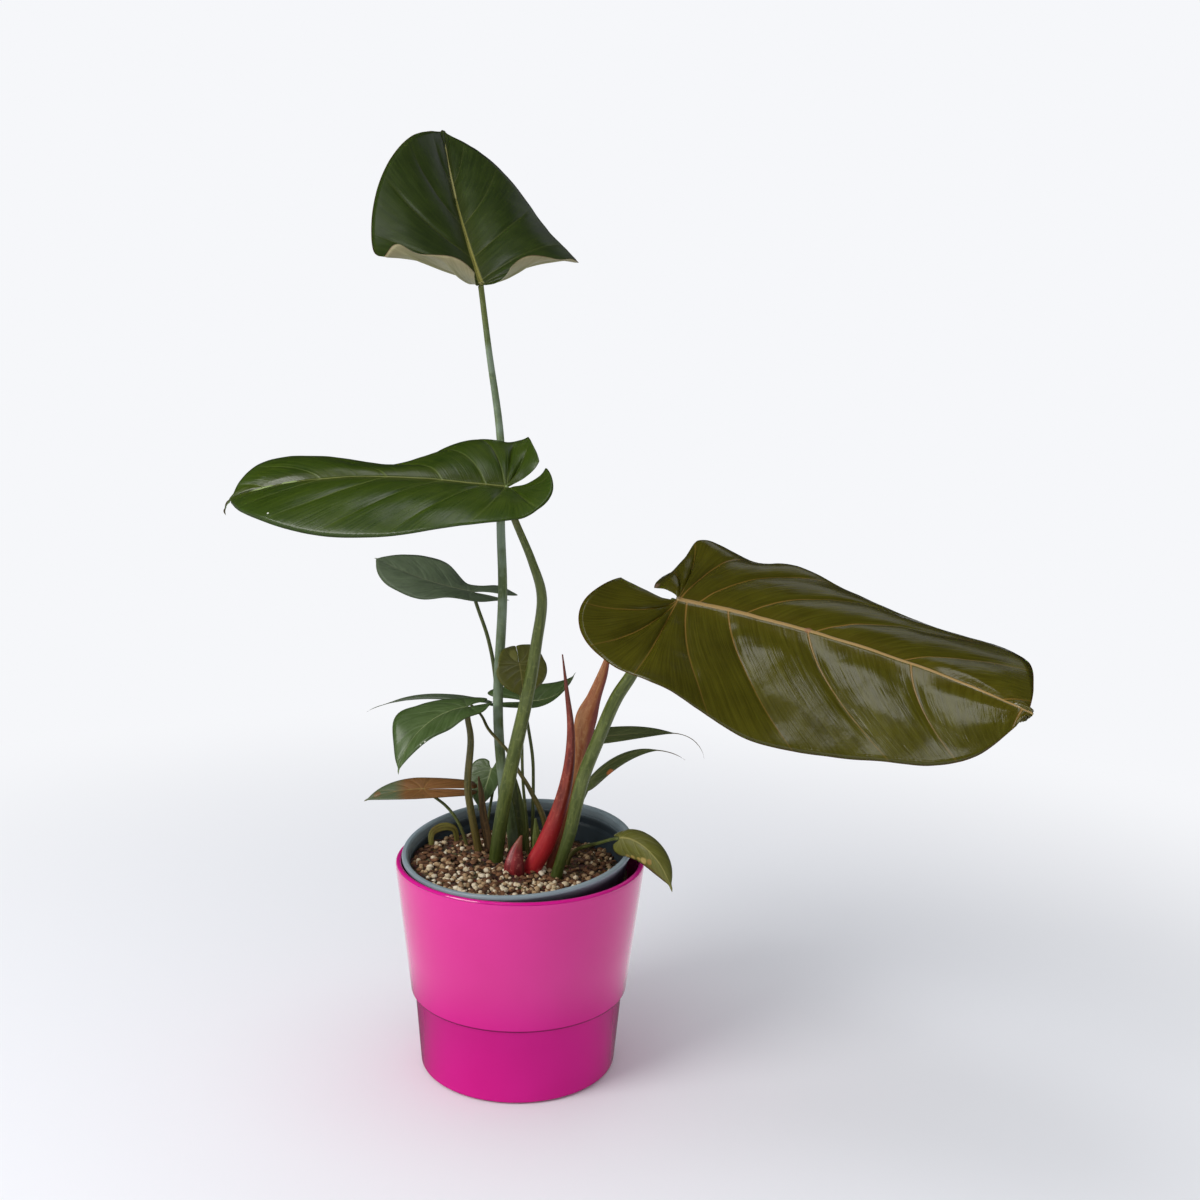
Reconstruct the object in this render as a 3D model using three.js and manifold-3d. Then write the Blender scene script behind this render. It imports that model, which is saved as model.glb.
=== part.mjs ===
import * as THREE from 'three';
import Module from 'manifold-3d';
import { mergeGeometries, mergeVertices } from 'three/addons/utils/BufferGeometryUtils.js';

const wasm = await Module();
wasm.setup();

// Potted heart-leaved philodendron: glazed cover pot, nursery pot leaning inside it, mix and plant.
// All lengths are in mm; the origin is the centre of the cover pot's flat bottom.
const deg = Math.PI / 180;
const seamGap = 0.3;

// Cover pot
const coverRimRadius = 80;
const coverInnerRim = 76.2;
const coverHeight = 138;
const coverStepHeight = 51;
const coverStepRadius = 70;
const coverLedgeRadius = 67.5;
const coverFootRadius = 62;
const coverFloor = 5;

// Nursery pot, measured in its own upright frame, then leaned
const nurseryHeight = 110;
const nurseryRimRadius = 75.2;
const nurseryNeckRadius = 71.4;
const nurseryFootRadius = 45.5;
const nurseryWall = 1.5;
const nurseryCentre = new THREE.Vector3(-1.9, 3, 145.2);
const nurseryLean = new THREE.Vector3(-0.057, -0.086, 1).normalize();
const drainHoles = 6;
const drainRadius = 4;

// Potting mix
const mixHeight = 132;
const mixTilt = 3 * deg;

// Leaf blades
const bladeHalfThickness = 0.5;
const smallBladeHalfThickness = 0.4;
const midribSteps = 60;
const tipHalfWidth = 0.9;
const hillFreeOfRib = 22;

// One record per leaf. base: where the stalk meets the blade. heading, rise: where the midrib sets
// off. droop, bow: how far and how early it bends down. turn, roll, twist: sideways bend and lean.
// fold, curl, lobeLift, lift: left and right halves. lobe, full, notch: outline and how open its
// back notch is. tip, tipDroop: drip tip. lobeShare, blunt: how long each lobe is and how square the
// end is, left and right. hills: local rises and dents, left and right, each [x, y, reach, height].
const leaves = {
  top: {
    base: [-31.5, 30, 499.5], heading: 110, rise: 37, droop: 2, bow: 1.3, turn: -9, roll: -1, twist: 24,
    length: 190, half: 66, lobe: 0.26, full: -0.1, fold: [26, 39], curl: [-28, -54],
    lobeLift: [95, 110], tip: 8, tipDroop: 110, notch: 1,
    lift: [[8, 17, -10, -10, -7, 2], [0, 8, -1, -9, -8, -4]],
  },
  left: {
    base: [-9, -46, 380], heading: 190, rise: 6, droop: 28, bow: 1.8, turn: -27, roll: -15, twist: -15,
    length: 167, half: 63, lobe: 0.21, full: 0.53, fold: [18, 32], curl: [-49, -76],
    lobeLift: [90, 88], tip: 12, tipDroop: 90, notch: 0.6,
    lift: [[-3, 9, 8, -3, -9, -5], [8, 13, 12, -12, -23, -14]],
    hills: [[], [[0.42, 0.55, 32, -9]]],
  },
  right: {
    base: [94, -44, 316], heading: -20, rise: -7, droop: 6, bow: 1.4, turn: -25, roll: 26, twist: 8,
    length: 213, half: 84, lobe: 0.22, full: 0.72, fold: [-5, -11], curl: [-35, 10],
    lobeLift: [-9, 45], tip: 2, tipDroop: 20, notch: 0.5, lobeShare: [0.5, 1], blunt: [0, 0.2],
    lift: [[-9, 19, 15, 0, -15, -11], [3, 13, 15, -7, -8, -5]],
    hills: [[[-0.05, 0.85, 16, 7], [0.1, 1, 14, -5], [0.22, 1, 20, 5]], [[-0.15, 0.16, 26, 5]]],
  },
  rearLeft: {
    base: [-38, 60, 300], heading: 169, rise: 8, droop: -17, bow: 1.3, turn: -3, roll: -5, twist: 0,
    length: 71, half: 24.5, lobe: 0.4, full: 1, fold: [11, 16], curl: [-34, -16],
    lobeLift: [0, 0], tip: 2, tipDroop: 30, notch: 1,
    lift: [[7, 3, 3, -4, -6, -6], [-6, -2, -7, 5, 7, 4]],
  },
  round: {
    base: [-3, 3.5, 264.5], heading: -47, rise: -72, droop: 3, bow: 1.3, turn: -24, roll: -1, twist: 0,
    length: 21, half: 20, lobe: 0.53, full: 0, fold: [10, 11], curl: [-10, -8],
    lobeLift: [0, 0], tip: 2, tipDroop: 5, notch: 0.03,
  },
  rearMiddle: {
    base: [-0.7, 36, 231.7], heading: 3, rise: 0, droop: -70, bow: 1.3, turn: -19, roll: 30, twist: 0,
    length: 40, half: 16, lobe: 0.62, full: 0, fold: [7, 25], curl: [-11, 5],
    lobeLift: [0, 0], tip: 3, tipDroop: 30, notch: 1,
  },
  lowLeft: {
    base: [-36.5, 12, 233], heading: 198, rise: -5, droop: 64, bow: 1.1, turn: 34, roll: 4, twist: 0,
    length: 62.5, half: 22.5, lobe: 0.25, full: 0, fold: [14, 20], curl: [-32, -13],
    lobeLift: [0, 0], tip: 4, tipDroop: 30, notch: 1,
    lift: [[7, 0, -1, -4, -2, -1], [-4, -3, -2, 2, 11, 0]],
  },
  farLeft: {
    base: [-39, 47, 228], heading: 184, rise: 8, droop: 22, bow: 1.3, turn: 4, roll: 7, twist: 0,
    length: 54, half: 13, lobe: 0.3, full: 0, fold: [22, 15], curl: [-23, -11],
    lobeLift: [0, 0], tip: 15, tipDroop: 15, notch: 1,
  },
  bronze: {
    base: [-67, 34, 170.5], heading: 186, rise: -1, droop: 24, bow: 1.3, turn: -4, roll: -23, twist: 0,
    length: 39, half: 10.5, lobe: 0.88, full: 0, fold: [12, 17], curl: [-17, -17],
    lobeLift: [-6, -2], tip: 2, tipDroop: 0, notch: 0.05,
  },
  inner: {
    base: [-24, 60, 178], heading: 240, rise: -62, droop: -16, bow: 1.3, turn: 8, roll: 5, twist: 0,
    length: 28, half: 15, lobe: 0.2, full: 0, fold: [22, 19], curl: [1, -3],
    lobeLift: [0, 0], tip: 3, tipDroop: 30, notch: 1,
  },
  rightUpper: {
    base: [48, 36, 208], heading: 2, rise: 9, droop: 11, bow: 1.3, turn: -1, roll: 2, twist: 0,
    length: 51.5, half: 13, lobe: 0.2, full: 0, fold: [10, 11], curl: [2, -25],
    lobeLift: [0, 0], tip: 29, tipDroop: 79, notch: 1,
  },
  rightLower: {
    base: [44.5, 16, 185], heading: 1, rise: 48, droop: 52, bow: 1.3, turn: 1, roll: 7, twist: 0,
    length: 50, half: 9, lobe: 0.15, full: 0, fold: [2, 3], curl: [-14, -36],
    lobeLift: [0, 0], tip: 19, tipDroop: 32, notch: 1,
  },
  rim: {
    base: [63, -30, 162.5], heading: -35, rise: 25, droop: 90, bow: 0.64, turn: 0, roll: 48, twist: 0,
    length: 48, half: 13.5, lobe: 0.15, full: 0, fold: [-11, -24], curl: [-60, -50],
    lobeLift: [0, 0], tip: 4, tipDroop: 10, notch: 1,
  },
};

// Leaf stalks from the mix up to the blade: path points and the radius at each
const stalks = {
  top: {
    path: [[-4, 14, 120], [-7, 14, 151], [-14, 15, 191], [-17, 17, 238], [-15, 21, 303],
      [-17, 24, 351], [-18, 26, 404], [-26, 28, 459], [-31.5, 30, 498]],
    radius: [3.4, 3.6, 3.4, 3.2, 3, 2.8, 2.4, 2, 1.8],
  },
  left: {
    path: [[-18, 4, 120], [-17, 3, 128], [-14, 1, 155], [-7, -5, 196], [4, -13, 250],
      [9, -19, 283], [12, -26, 312], [6, -36, 336], [-5, -44, 364], [-9, -46, 378.7]],
    radius: [4.4, 4.6, 4.6, 4.5, 4, 3.6, 3.1, 2.5, 2.1, 2],
  },
  right: {
    path: [[21, -16, 120], [23, -16, 129], [26, -17, 141], [32, -19, 162], [39, -21, 196],
      [48, -24, 223], [58, -28, 250], [68, -31, 268], [79, -36, 293], [92, -43, 314]],
    radius: [4, 3.8, 3.7, 4, 4.2, 4.2, 4, 3.8, 3.4, 2.8],
  },
  rearLeft: {
    path: [[-14, 29, 120], [-14, 29, 142], [-16, 34, 166], [-18, 48, 206], [-22, 56, 244],
      [-27, 59, 268], [-34, 60, 288], [-38, 60, 298.5]],
    radius: [1.7, 1.7, 1.6, 1.5, 1.4, 1.3, 1.2, 1.2],
  },
  round: {
    path: [[4, 16, 120], [3, 15, 152], [0, 12, 185], [-1, 10, 219], [-2, 8, 246], [-3, 5, 262]],
    radius: [1.1, 1.1, 1, 1, 0.9, 0.9],
  },
  rearMiddle: {
    path: [[6, 29, 120], [6, 28, 156], [6, 29, 180], [5, 31, 197], [1, 34, 220], [-0.7, 36, 230.5]],
    radius: [1.2, 1.2, 1.1, 1.1, 1, 0.9],
  },
  lowLeft: {
    path: [[-27, 17, 120], [-29, 18, 135], [-34, 17, 162], [-36, 15, 182], [-34, 13, 210],
      [-36, 12, 225], [-36.5, 12, 232.8]],
    radius: [2.6, 2.6, 2.5, 2.4, 2.2, 1.9, 1.7],
  },
  farLeft: {
    path: [[17, 10, 120], [15, 10, 156], [5, 8, 180], [-3, 6, 194], [-9.5, 6, 206],
      [-16, 7, 213], [-23, 13, 219], [-29, 28, 224], [-39, 47, 226.5]],
    radius: [2.2, 2, 1.5, 1.2, 1.1, 1, 1, 0.9, 0.9],
  },
  bronze: {
    path: [[-36, 29, 120], [-38, 30, 134], [-44, 32, 149], [-53, 34, 160], [-67, 34, 169]],
    radius: [1.2, 1.2, 1.1, 1, 0.9],
  },
  inner: {
    path: [[-27, 37, 120], [-26, 40, 139], [-24, 47, 154], [-22, 57, 170], [-24, 60, 176.5]],
    radius: [1.1, 1.1, 1, 0.9, 0.9],
  },
  rightUpper: {
    path: [[27, 26, 120], [29, 27, 144], [35, 30, 165], [41, 34, 188], [48, 36, 206.5]],
    radius: [1.4, 1.4, 1.3, 1.2, 1.1],
  },
  rightLower: {
    path: [[26, 15, 120], [27, 15, 139], [32, 15, 155], [38, 15.5, 170], [44.5, 16, 183.5]],
    radius: [1.4, 1.4, 1.3, 1.2, 1.1],
  },
  rim: {
    path: [[28, 7, 120], [31, 8, 134], [36, 6, 141], [44, -2, 147], [50, -14, 153], [58, -25, 159.5],
      [62.5, -30, 161.5]],
    radius: [1.5, 1.5, 1.4, 1.3, 1.1, 1, 1],
  },
};

// Sheaths and bracts around the crown: half width, half thickness and the side the face looks to
const sheaths = {
  cataphyll_red: {
    path: [[7, -11, 122], [8, -11, 134], [16, -11, 150], [25, -12, 176], [30, -14, 201],
      [31, -16, 227], [28, -18, 253], [25, -20, 276]],
    width: [4.6, 6, 6, 4.8, 3.6, 2.4, 1.3, 0.4],
    depth: [3.4, 4, 3.2, 2.4, 1.8, 1.3, 0.8, 0.4],
    face: [0.1, -1, 0],
  },
  new_leaf_sheath: {
    path: [[19, -3, 122], [20, -3, 134], [25, -3, 151], [31, -4, 178], [37, -6, 205],
      [40, -8, 231], [45, -10, 247], [50, -12, 262], [53, -13, 274]],
    width: [3, 3.4, 3.4, 3.4, 3.8, 7, 4.6, 3.2, 1.5],
    depth: [2.4, 2.6, 2.2, 2, 1.8, 1.8, 1.8, 1.5, 1],
    face: [0.2, -1, 0.1],
  },
  bract_red: {
    path: [[-3, -17, 122], [-3, -18, 132], [-3, -18, 139], [-2, -15, 147], [1, -11, 156]],
    width: [4.5, 6.3, 6.2, 4, 0.6],
    depth: [2.6, 3, 2.4, 1.6, 0.5],
    face: [0, -1, 0.3],
  },
  crown_sheath: {
    path: [[-2, 21, 122], [-2, 21, 137], [-3, 21, 151], [-5, 21, 171], [-7, 21, 188]],
    width: [5.5, 6, 5.6, 4, 0.8],
    depth: [1.6, 1.8, 1.6, 1.2, 0.5],
    face: [0.1, -1, 0],
  },
  low_left_sheath: {
    path: [[-21, 22, 122], [-22, 22, 135], [-26, 23, 155], [-28, 24, 172], [-30, 25, 183]],
    width: [3, 3.2, 2.6, 1.8, 0.5],
    depth: [1.2, 1.4, 1.2, 0.9, 0.4],
    face: [0.2, -1, 0],
  },
  green_sheath: {
    path: [[12, 5, 122], [11, 4, 137], [10, 3, 149], [9, 2, 163]],
    width: [3.4, 3.8, 3, 0.6],
    depth: [1.2, 1.3, 1.1, 0.4],
    face: [0, -1, 0.2],
  },
  dried_strip: {
    path: [[-60, 26, 124], [-61, 26, 134], [-61, 29, 141.5], [-56, 33, 144.5], [-50, 36, 144],
      [-46, 38, 139.5], [-45, 38, 124]],
    width: [1.4, 1.6, 2.2, 2.7, 2.5, 2, 1.4],
    depth: [0.5, 0.5, 0.5, 0.5, 0.5, 0.5, 0.5],
    face: [0.5, -1, 0.3],
  },
};

const toSolid = (geometry) => {
  const welded = mergeVertices(positionOnly(geometry), 1e-4);
  const index = [];
  const source = welded.index.array;
  for (let i = 0; i < source.length; i += 3) {
    const [a, b, c] = [source[i], source[i + 1], source[i + 2]];
    if (a !== b && b !== c && c !== a) index.push(a, b, c);
  }
  return new wasm.Manifold(new wasm.Mesh({
    numProp: 3,
    vertProperties: Float32Array.from(welded.attributes.position.array),
    triVerts: Uint32Array.from(index),
  }));
};

const fromSolid = (solid) => {
  const mesh = solid.getMesh();
  const geometry = new THREE.BufferGeometry();
  geometry.setAttribute('position', new THREE.BufferAttribute(mesh.vertProperties.slice(), 3));
  geometry.setIndex(new THREE.BufferAttribute(mesh.triVerts.slice(), 1));
  geometry.computeVertexNormals();
  return geometry;
};

const positionOnly = (geometry) => {
  const bare = new THREE.BufferGeometry();
  bare.setAttribute('position', geometry.attributes.position.clone());
  if (geometry.index) bare.setIndex(geometry.index.clone());
  return bare;
};

// Shifts that open the seam between a stalk and its blade on every side
const clearances = [[0, 0, 0], [seamGap, 0, 0], [-seamGap, 0, 0], [0, seamGap, 0], [0, -seamGap, 0],
  [0, 0, -seamGap]];

const largestPiece = (solid) => solid.decompose().sort((a, b) => b.volume() - a.volume())[0];

// Smooth curve through a short list of values, read at a fractional position
const along = (values, at) => {
  const last = values.length - 1;
  const clamped = Math.min(Math.max(at, 0), last - 1e-9);
  const i = Math.floor(clamped);
  const t = clamped - i;
  const pick = (k) => values[Math.min(Math.max(k, 0), last)];
  const [a, b, c, d] = [pick(i - 1), pick(i), pick(i + 1), pick(i + 2)];
  const square = (2 * a - 5 * b + 4 * c - d) * t * t;
  return 0.5 * (2 * b + (c - a) * t + square + (3 * b - a - 3 * c + d) * t ** 3);
};

// Half outline: x in blade lengths from the stalk, y in half widths; the lobe lies behind the stalk
const lobeLength = (leaf, half) => leaf.lobe * (leaf.lobeShare?.[half] ?? 1);
const outlineX = (leaf, half, tail) => {
  const lobe = lobeLength(leaf, half);
  const notchEnd = lobe * (0.2 * Math.min(1, 2 * leaf.notch) - 1);
  return [0, -0.42 * lobe, notchEnd, -lobe, -0.85 * lobe, -0.4 * lobe, 0.06, 0.24, 0.42, 0.6, 0.76,
    0.89, 0.965, 1, 1 + tail / 2, 1 + tail];
};
const outlineY = (leaf, half) => [0, 0.07 * leaf.notch, 0.2 * leaf.notch, 0.42, 0.68, 0.89, 1,
  0.985, 0.9 + 0.05 * leaf.full, 0.745 + 0.14 * leaf.full, 0.53 + 0.26 * leaf.full,
  0.28 + 0.3 * leaf.full + (leaf.blunt?.[half] ?? 0) / 2,
  0.11 + 0.15 * leaf.full + (leaf.blunt?.[half] ?? 0),
  Math.max(0.035, tipHalfWidth / leaf.half) + (leaf.blunt?.[half] ?? 0) / 2,
  Math.max(0.02, 0.7 * tipHalfWidth / leaf.half), 0];
// Where each side vein leaves the midrib
const veinStart = (tail) => [0, 0, 0, 0, 0, 0, 0, 0.02, 0.09, 0.21, 0.36, 0.56, 0.79, 1,
  1 + tail / 2, 1 + tail];
const firstRow = 2;
const lastRow = 15;

const midribAngles = (leaf, s) => {
  const x = Math.min(Math.max(s, 0), 1);
  const tail = leaf.tip / leaf.length;
  const pastTip = Math.min(Math.max((s - 1) / tail, 0), 1);
  return {
    rise: (leaf.rise - leaf.droop * x ** leaf.bow - leaf.tipDroop * pastTip) * deg,
    heading: (leaf.heading + leaf.turn * x) * deg,
    roll: (leaf.roll + leaf.twist * x) * deg,
  };
};

const midribPoints = (leaf) => {
  const longest = 1 + leaf.tip / leaf.length;
  const step = longest / midribSteps;
  const points = [new THREE.Vector3(...leaf.base)];
  for (let i = 0; i < midribSteps; i += 1) {
    const { rise, heading } = midribAngles(leaf, (i + 0.5) * step);
    const forward = new THREE.Vector3(
      Math.cos(rise) * Math.cos(heading), Math.cos(rise) * Math.sin(heading), Math.sin(rise));
    points.push(points[i].clone().addScaledVector(forward, step * leaf.length));
  }
  return { points, step };
};

const bladePoint = (leaf, rib, x, y, side) => {
  const half = side > 0 ? 0 : 1;
  const s = Math.max(x, 0);
  const k = Math.min(Math.floor(s / rib.step), midribSteps - 1);
  const point = rib.points[k].clone().lerp(rib.points[k + 1], s / rib.step - k);
  const { rise, heading, roll } = midribAngles(leaf, s);
  const forward = new THREE.Vector3(
    Math.cos(rise) * Math.cos(heading), Math.cos(rise) * Math.sin(heading), Math.sin(rise));
  const level = new THREE.Vector3(-Math.sin(heading), Math.cos(heading), 0);
  const upright = forward.clone().cross(level);
  const across = level.clone().multiplyScalar(Math.cos(roll)).addScaledVector(upright, Math.sin(roll));
  const up = upright.clone().multiplyScalar(Math.cos(roll)).addScaledVector(level, -Math.sin(roll));
  const behind = -Math.min(x, 0) * leaf.length;
  const lobe = lobeLength(leaf, half);
  const bend = leaf.lobeLift[half] * deg / (lobe * leaf.length);
  const angle = bend * behind;
  const back = Math.abs(bend) < 1e-6 ? behind : Math.sin(angle) / bend;
  const raise = Math.abs(bend) < 1e-6 ? 0 : (1 - Math.cos(angle)) / bend;
  point.addScaledVector(forward, -back).addScaledVector(up, raise);
  const normal = up.clone().multiplyScalar(Math.cos(angle)).addScaledVector(forward, Math.sin(angle));
  const fold = leaf.fold[half] * deg;
  const curl = leaf.curl[half] * deg / leaf.half;
  const w = y * leaf.half;
  let out = w * Math.cos(fold);
  let lift = w * Math.sin(fold);
  if (Math.abs(curl) > 1e-6) {
    out = (Math.sin(fold + curl * w) - Math.sin(fold)) / curl;
    lift = (Math.cos(fold) - Math.cos(fold + curl * w)) / curl;
  }
  if (leaf.lift) {
    const stations = [-lobe, -0.45 * lobe, 0.12, 0.38, 0.62, 0.84, 1];
    let at = 0;
    while (at < 5 && x > stations[at + 1]) at += 1;
    const part = (x - stations[at]) / (stations[at + 1] - stations[at]);
    lift += along([...leaf.lift[half], 0], at + part) * Math.min(Math.max(y, 0), 1.2) ** 1.6;
  }
  const fromRib = Math.hypot(Math.min(x, 0) * leaf.length, y * leaf.half);
  const free = THREE.MathUtils.smoothstep(fromRib, 0, hillFreeOfRib);
  for (const [hillX, hillY, reach, height] of leaf.hills?.[half] ?? []) {
    const away = Math.hypot((x - hillX) * leaf.length, (y - hillY) * leaf.half);
    lift += height * Math.exp(-((away / reach) ** 2)) * free;
  }
  return point.addScaledVector(across, side * out).addScaledVector(normal, lift);
};

const bladeHalf = (leaf, rib, side, rows, columns) => {
  const tail = leaf.tip / leaf.length;
  const half = side > 0 ? 0 : 1;
  const xs = outlineX(leaf, half, tail);
  const [ys, starts] = [outlineY(leaf, half), veinStart(tail)];
  const sheet = new THREE.PlaneGeometry(1, 1, columns, rows);
  const place = sheet.attributes.position;
  for (let i = 0; i < place.count; i += 1) {
    const v = place.getX(i) + 0.5;
    const row = firstRow + (0.5 - place.getY(i)) * (lastRow - firstRow);
    const [edgeX, edgeY, a] = [along(xs, row), Math.max(along(ys, row), 0), along(starts, row)];
    const middleX = a + 0.22 * (edgeX - a);
    const x = (1 - v) ** 2 * a + 2 * v * (1 - v) * middleX + v * v * edgeX;
    const y = 2 * v * (1 - v) * 0.58 * edgeY + v * v * edgeY;
    const p = bladePoint(leaf, rib, x, y, side);
    place.setXYZ(i, p.x, p.y, p.z);
  }
  if (side < 0) {
    const index = sheet.index.array;
    for (let i = 0; i < index.length; i += 3) [index[i], index[i + 1]] = [index[i + 1], index[i]];
  }
  return positionOnly(sheet);
};

// A sheet made into a thin closed body: both faces moved out along the normals, the rim stitched
const thicken = (sheet, halfThickness) => {
  const welded = mergeVertices(sheet, 1e-3);
  const index = [];
  const source = welded.index.array;
  for (let i = 0; i < source.length; i += 3) {
    const [a, b, c] = [source[i], source[i + 1], source[i + 2]];
    if (a !== b && b !== c && c !== a) index.push(a, b, c);
  }
  welded.setIndex(index);
  welded.computeVertexNormals();
  const { position, normal } = welded.attributes;
  const count = position.count;
  const points = new Float32Array(count * 6);
  for (let i = 0; i < count; i += 1) {
    const p = new THREE.Vector3().fromBufferAttribute(position, i);
    const n = new THREE.Vector3().fromBufferAttribute(normal, i).multiplyScalar(halfThickness);
    p.clone().add(n).toArray(points, i * 3);
    p.clone().sub(n).toArray(points, (count + i) * 3);
  }
  const used = new Set();
  for (let i = 0; i < index.length; i += 3) {
    for (let k = 0; k < 3; k += 1) used.add(`${index[i + k]}_${index[i + (k + 1) % 3]}`);
  }
  const faces = [...index];
  for (let i = 0; i < index.length; i += 3) {
    faces.push(index[i] + count, index[i + 2] + count, index[i + 1] + count);
  }
  for (const edge of used) {
    const [a, b] = edge.split('_').map(Number);
    if (!used.has(`${b}_${a}`)) faces.push(b, a, a + count, b, a + count, b + count);
  }
  const body = new THREE.BufferGeometry();
  body.setAttribute('position', new THREE.BufferAttribute(points, 3));
  body.setIndex(faces);
  return body;
};

const bladeBody = (leaf, extra) => {
  const rib = midribPoints(leaf);
  const large = leaf.length > 100;
  const rows = large ? 17 : 11;
  const columns = large ? 4 : 2;
  const halves = [1, -1].map((side) => bladeHalf(leaf, rib, side, rows, columns));
  const thickness = (large ? bladeHalfThickness : smallBladeHalfThickness) + extra;
  return toSolid(thicken(mergeGeometries(halves), thickness));
};

// A stalk or sheath: a closed cylinder bent along a path, its radii changing on the way
const sweep = (path, width, depth, face, extra, sides) => {
  const curve = new THREE.CatmullRomCurve3(path.map((p) => new THREE.Vector3(...p)), false, 'centripetal');
  const rings = (path.length - 1) * 2;
  const bar = new THREE.CylinderGeometry(1, 1, 1, sides, rings);
  const place = bar.attributes.position;
  const looking = new THREE.Vector3(...face);
  for (let i = 0; i < place.count; i += 1) {
    const t = place.getY(i) + 0.5;
    const centre = curve.getPoint(t);
    const forward = curve.getTangent(t);
    const sideways = looking.clone().cross(forward).normalize();
    const outward = sideways.clone().cross(forward);
    const at = t * (path.length - 1);
    centre.addScaledVector(sideways, place.getX(i) * (along(width, at) + extra));
    centre.addScaledVector(outward, place.getZ(i) * (along(depth, at) + extra));
    if (t === 0) centre.addScaledVector(forward, -extra);
    if (t === 1) centre.addScaledVector(forward, extra);
    place.setXYZ(i, centre.x, centre.y, centre.z);
  }
  return toSolid(bar);
};

const turned = (profile, segments) => {
  const points = profile.map(([r, z]) => new THREE.Vector2(r, z));
  const body = new THREE.LatheGeometry(points, segments);
  body.rotateX(Math.PI / 2);
  return body;
};

const leaned = (geometry) => {
  const turn = new THREE.Quaternion().setFromUnitVectors(new THREE.Vector3(0, 0, 1), nurseryLean);
  geometry.applyQuaternion(turn);
  const foot = nurseryCentre.clone().addScaledVector(nurseryLean, -nurseryHeight);
  return geometry.translate(foot.x, foot.y, foot.z);
};

const group = new THREE.Group();
group.name = 'root';

const addMesh = (name, geometry, color, roughness) => {
  const material = new THREE.MeshStandardMaterial({ color, roughness, metalness: 0 });
  const mesh = new THREE.Mesh(geometry, material);
  mesh.name = name;
  group.add(mesh);
};

// Cover pot: flat bottom, stepped foot, straight flare, rounded rim
const coverProfile = [
  [0, 0], [coverFootRadius - 1, 0], [coverFootRadius + 1.3, 1.6], [coverLedgeRadius, coverStepHeight - 0.4],
  [coverLedgeRadius + 0.4, coverStepHeight], [coverStepRadius - 0.5, coverStepHeight],
  [coverStepRadius, coverStepHeight + 0.8], [coverRimRadius, coverHeight - 2.6],
  [coverRimRadius - 0.3, coverHeight - 1], [coverRimRadius - 1.2, coverHeight - 0.1],
  [coverInnerRim + 1.1, coverHeight - 0.1], [coverInnerRim + 0.2, coverHeight - 1],
  [coverInnerRim, coverHeight - 2.6], [coverStepRadius - 4, coverStepHeight + 3],
  [coverLedgeRadius - 4, coverStepHeight - 2], [coverFootRadius - 3, coverFloor + 3],
  [coverFootRadius - 6, coverFloor], [0, coverFloor],
];
addMesh('cachepot', turned(coverProfile, 48), 0xc4187c, 0.15);

// Nursery pot: thin wall with a step inside, rolled lip, holes in the base
const nurseryProfile = [
  [0, 0], [nurseryFootRadius - 1, 0], [nurseryFootRadius, 1], [nurseryNeckRadius, 101],
  [nurseryRimRadius - 2.6, 104], [nurseryRimRadius - 1.2, 106.2], [nurseryRimRadius, 108.2],
  [nurseryRimRadius - 0.7, nurseryHeight],
  [nurseryNeckRadius + 0.8, nurseryHeight], [nurseryNeckRadius - 0.4, 108.6],
  [nurseryNeckRadius - 1, 98], [nurseryNeckRadius - 2.9, 96.5],
  [nurseryFootRadius - nurseryWall, 3], [nurseryFootRadius - 3.5, nurseryWall], [0, nurseryWall],
];
let nurseryPot = toSolid(turned(nurseryProfile, 48));
for (let i = 0; i < drainHoles; i += 1) {
  const hole = new THREE.CylinderGeometry(drainRadius, drainRadius, 8, 12).rotateX(Math.PI / 2);
  const around = i * 2 * Math.PI / drainHoles;
  hole.translate(28 * Math.cos(around), 28 * Math.sin(around), 0);
  nurseryPot = nurseryPot.subtract(toSolid(hole));
}
addMesh('nursery_pot', leaned(fromSolid(nurseryPot)), 0x7f8f96, 0.45);

// Stalks and sheaths; each stalk stops just short of its blade
const roots = [];
const colours = {
  top: 0x1d3a12, left: 0x2a4f14, right: 0x3a3d12, rearLeft: 0x4a5a44, round: 0x55602e,
  rearMiddle: 0x2c4020, lowLeft: 0x2f5222, farLeft: 0x3c5030, bronze: 0x7a5234, inner: 0x34502a,
  rightUpper: 0x4b5a34, rightLower: 0x35522a, rim: 0x40551f,
};
const plainName = (name) => name.replace(/[A-Z]/g, (letter) => `_${letter.toLowerCase()}`);
for (const [name, leaf] of Object.entries(leaves)) {
  const { path, radius } = stalks[name];
  const sides = radius[0] > 2.5 ? 8 : 6;
  const face = [0.3, -1, 0.1];
  let stalk = sweep(path, radius, radius, face, 0, sides);
  for (const shift of clearances) stalk = stalk.subtract(bladeBody(leaf, seamGap).translate(shift));
  roots.push(sweep(path.slice(0, 3), radius.slice(0, 3), radius.slice(0, 3), face, seamGap, sides));
  addMesh(`blade_${plainName(name)}`, fromSolid(bladeBody(leaf, 0)), colours[name], 0.35);
  addMesh(`petiole_${plainName(name)}`, fromSolid(largestPiece(stalk)), 0x4c6a34, 0.5);
}
const sheathColours = {
  cataphyll_red: 0xa02c36, new_leaf_sheath: 0xb06a4c, bract_red: 0xb02430, crown_sheath: 0x3c4a2c,
  low_left_sheath: 0x6a4a2a, green_sheath: 0x6c7a34, dried_strip: 0x8a7a34,
};
for (const [name, { path, width, depth, face }] of Object.entries(sheaths)) {
  addMesh(name, fromSolid(sweep(path, width, depth, face, 0, 8)), sheathColours[name], 0.5);
  roots.push(sweep(path, width, depth, face, seamGap, 8));
}

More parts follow.
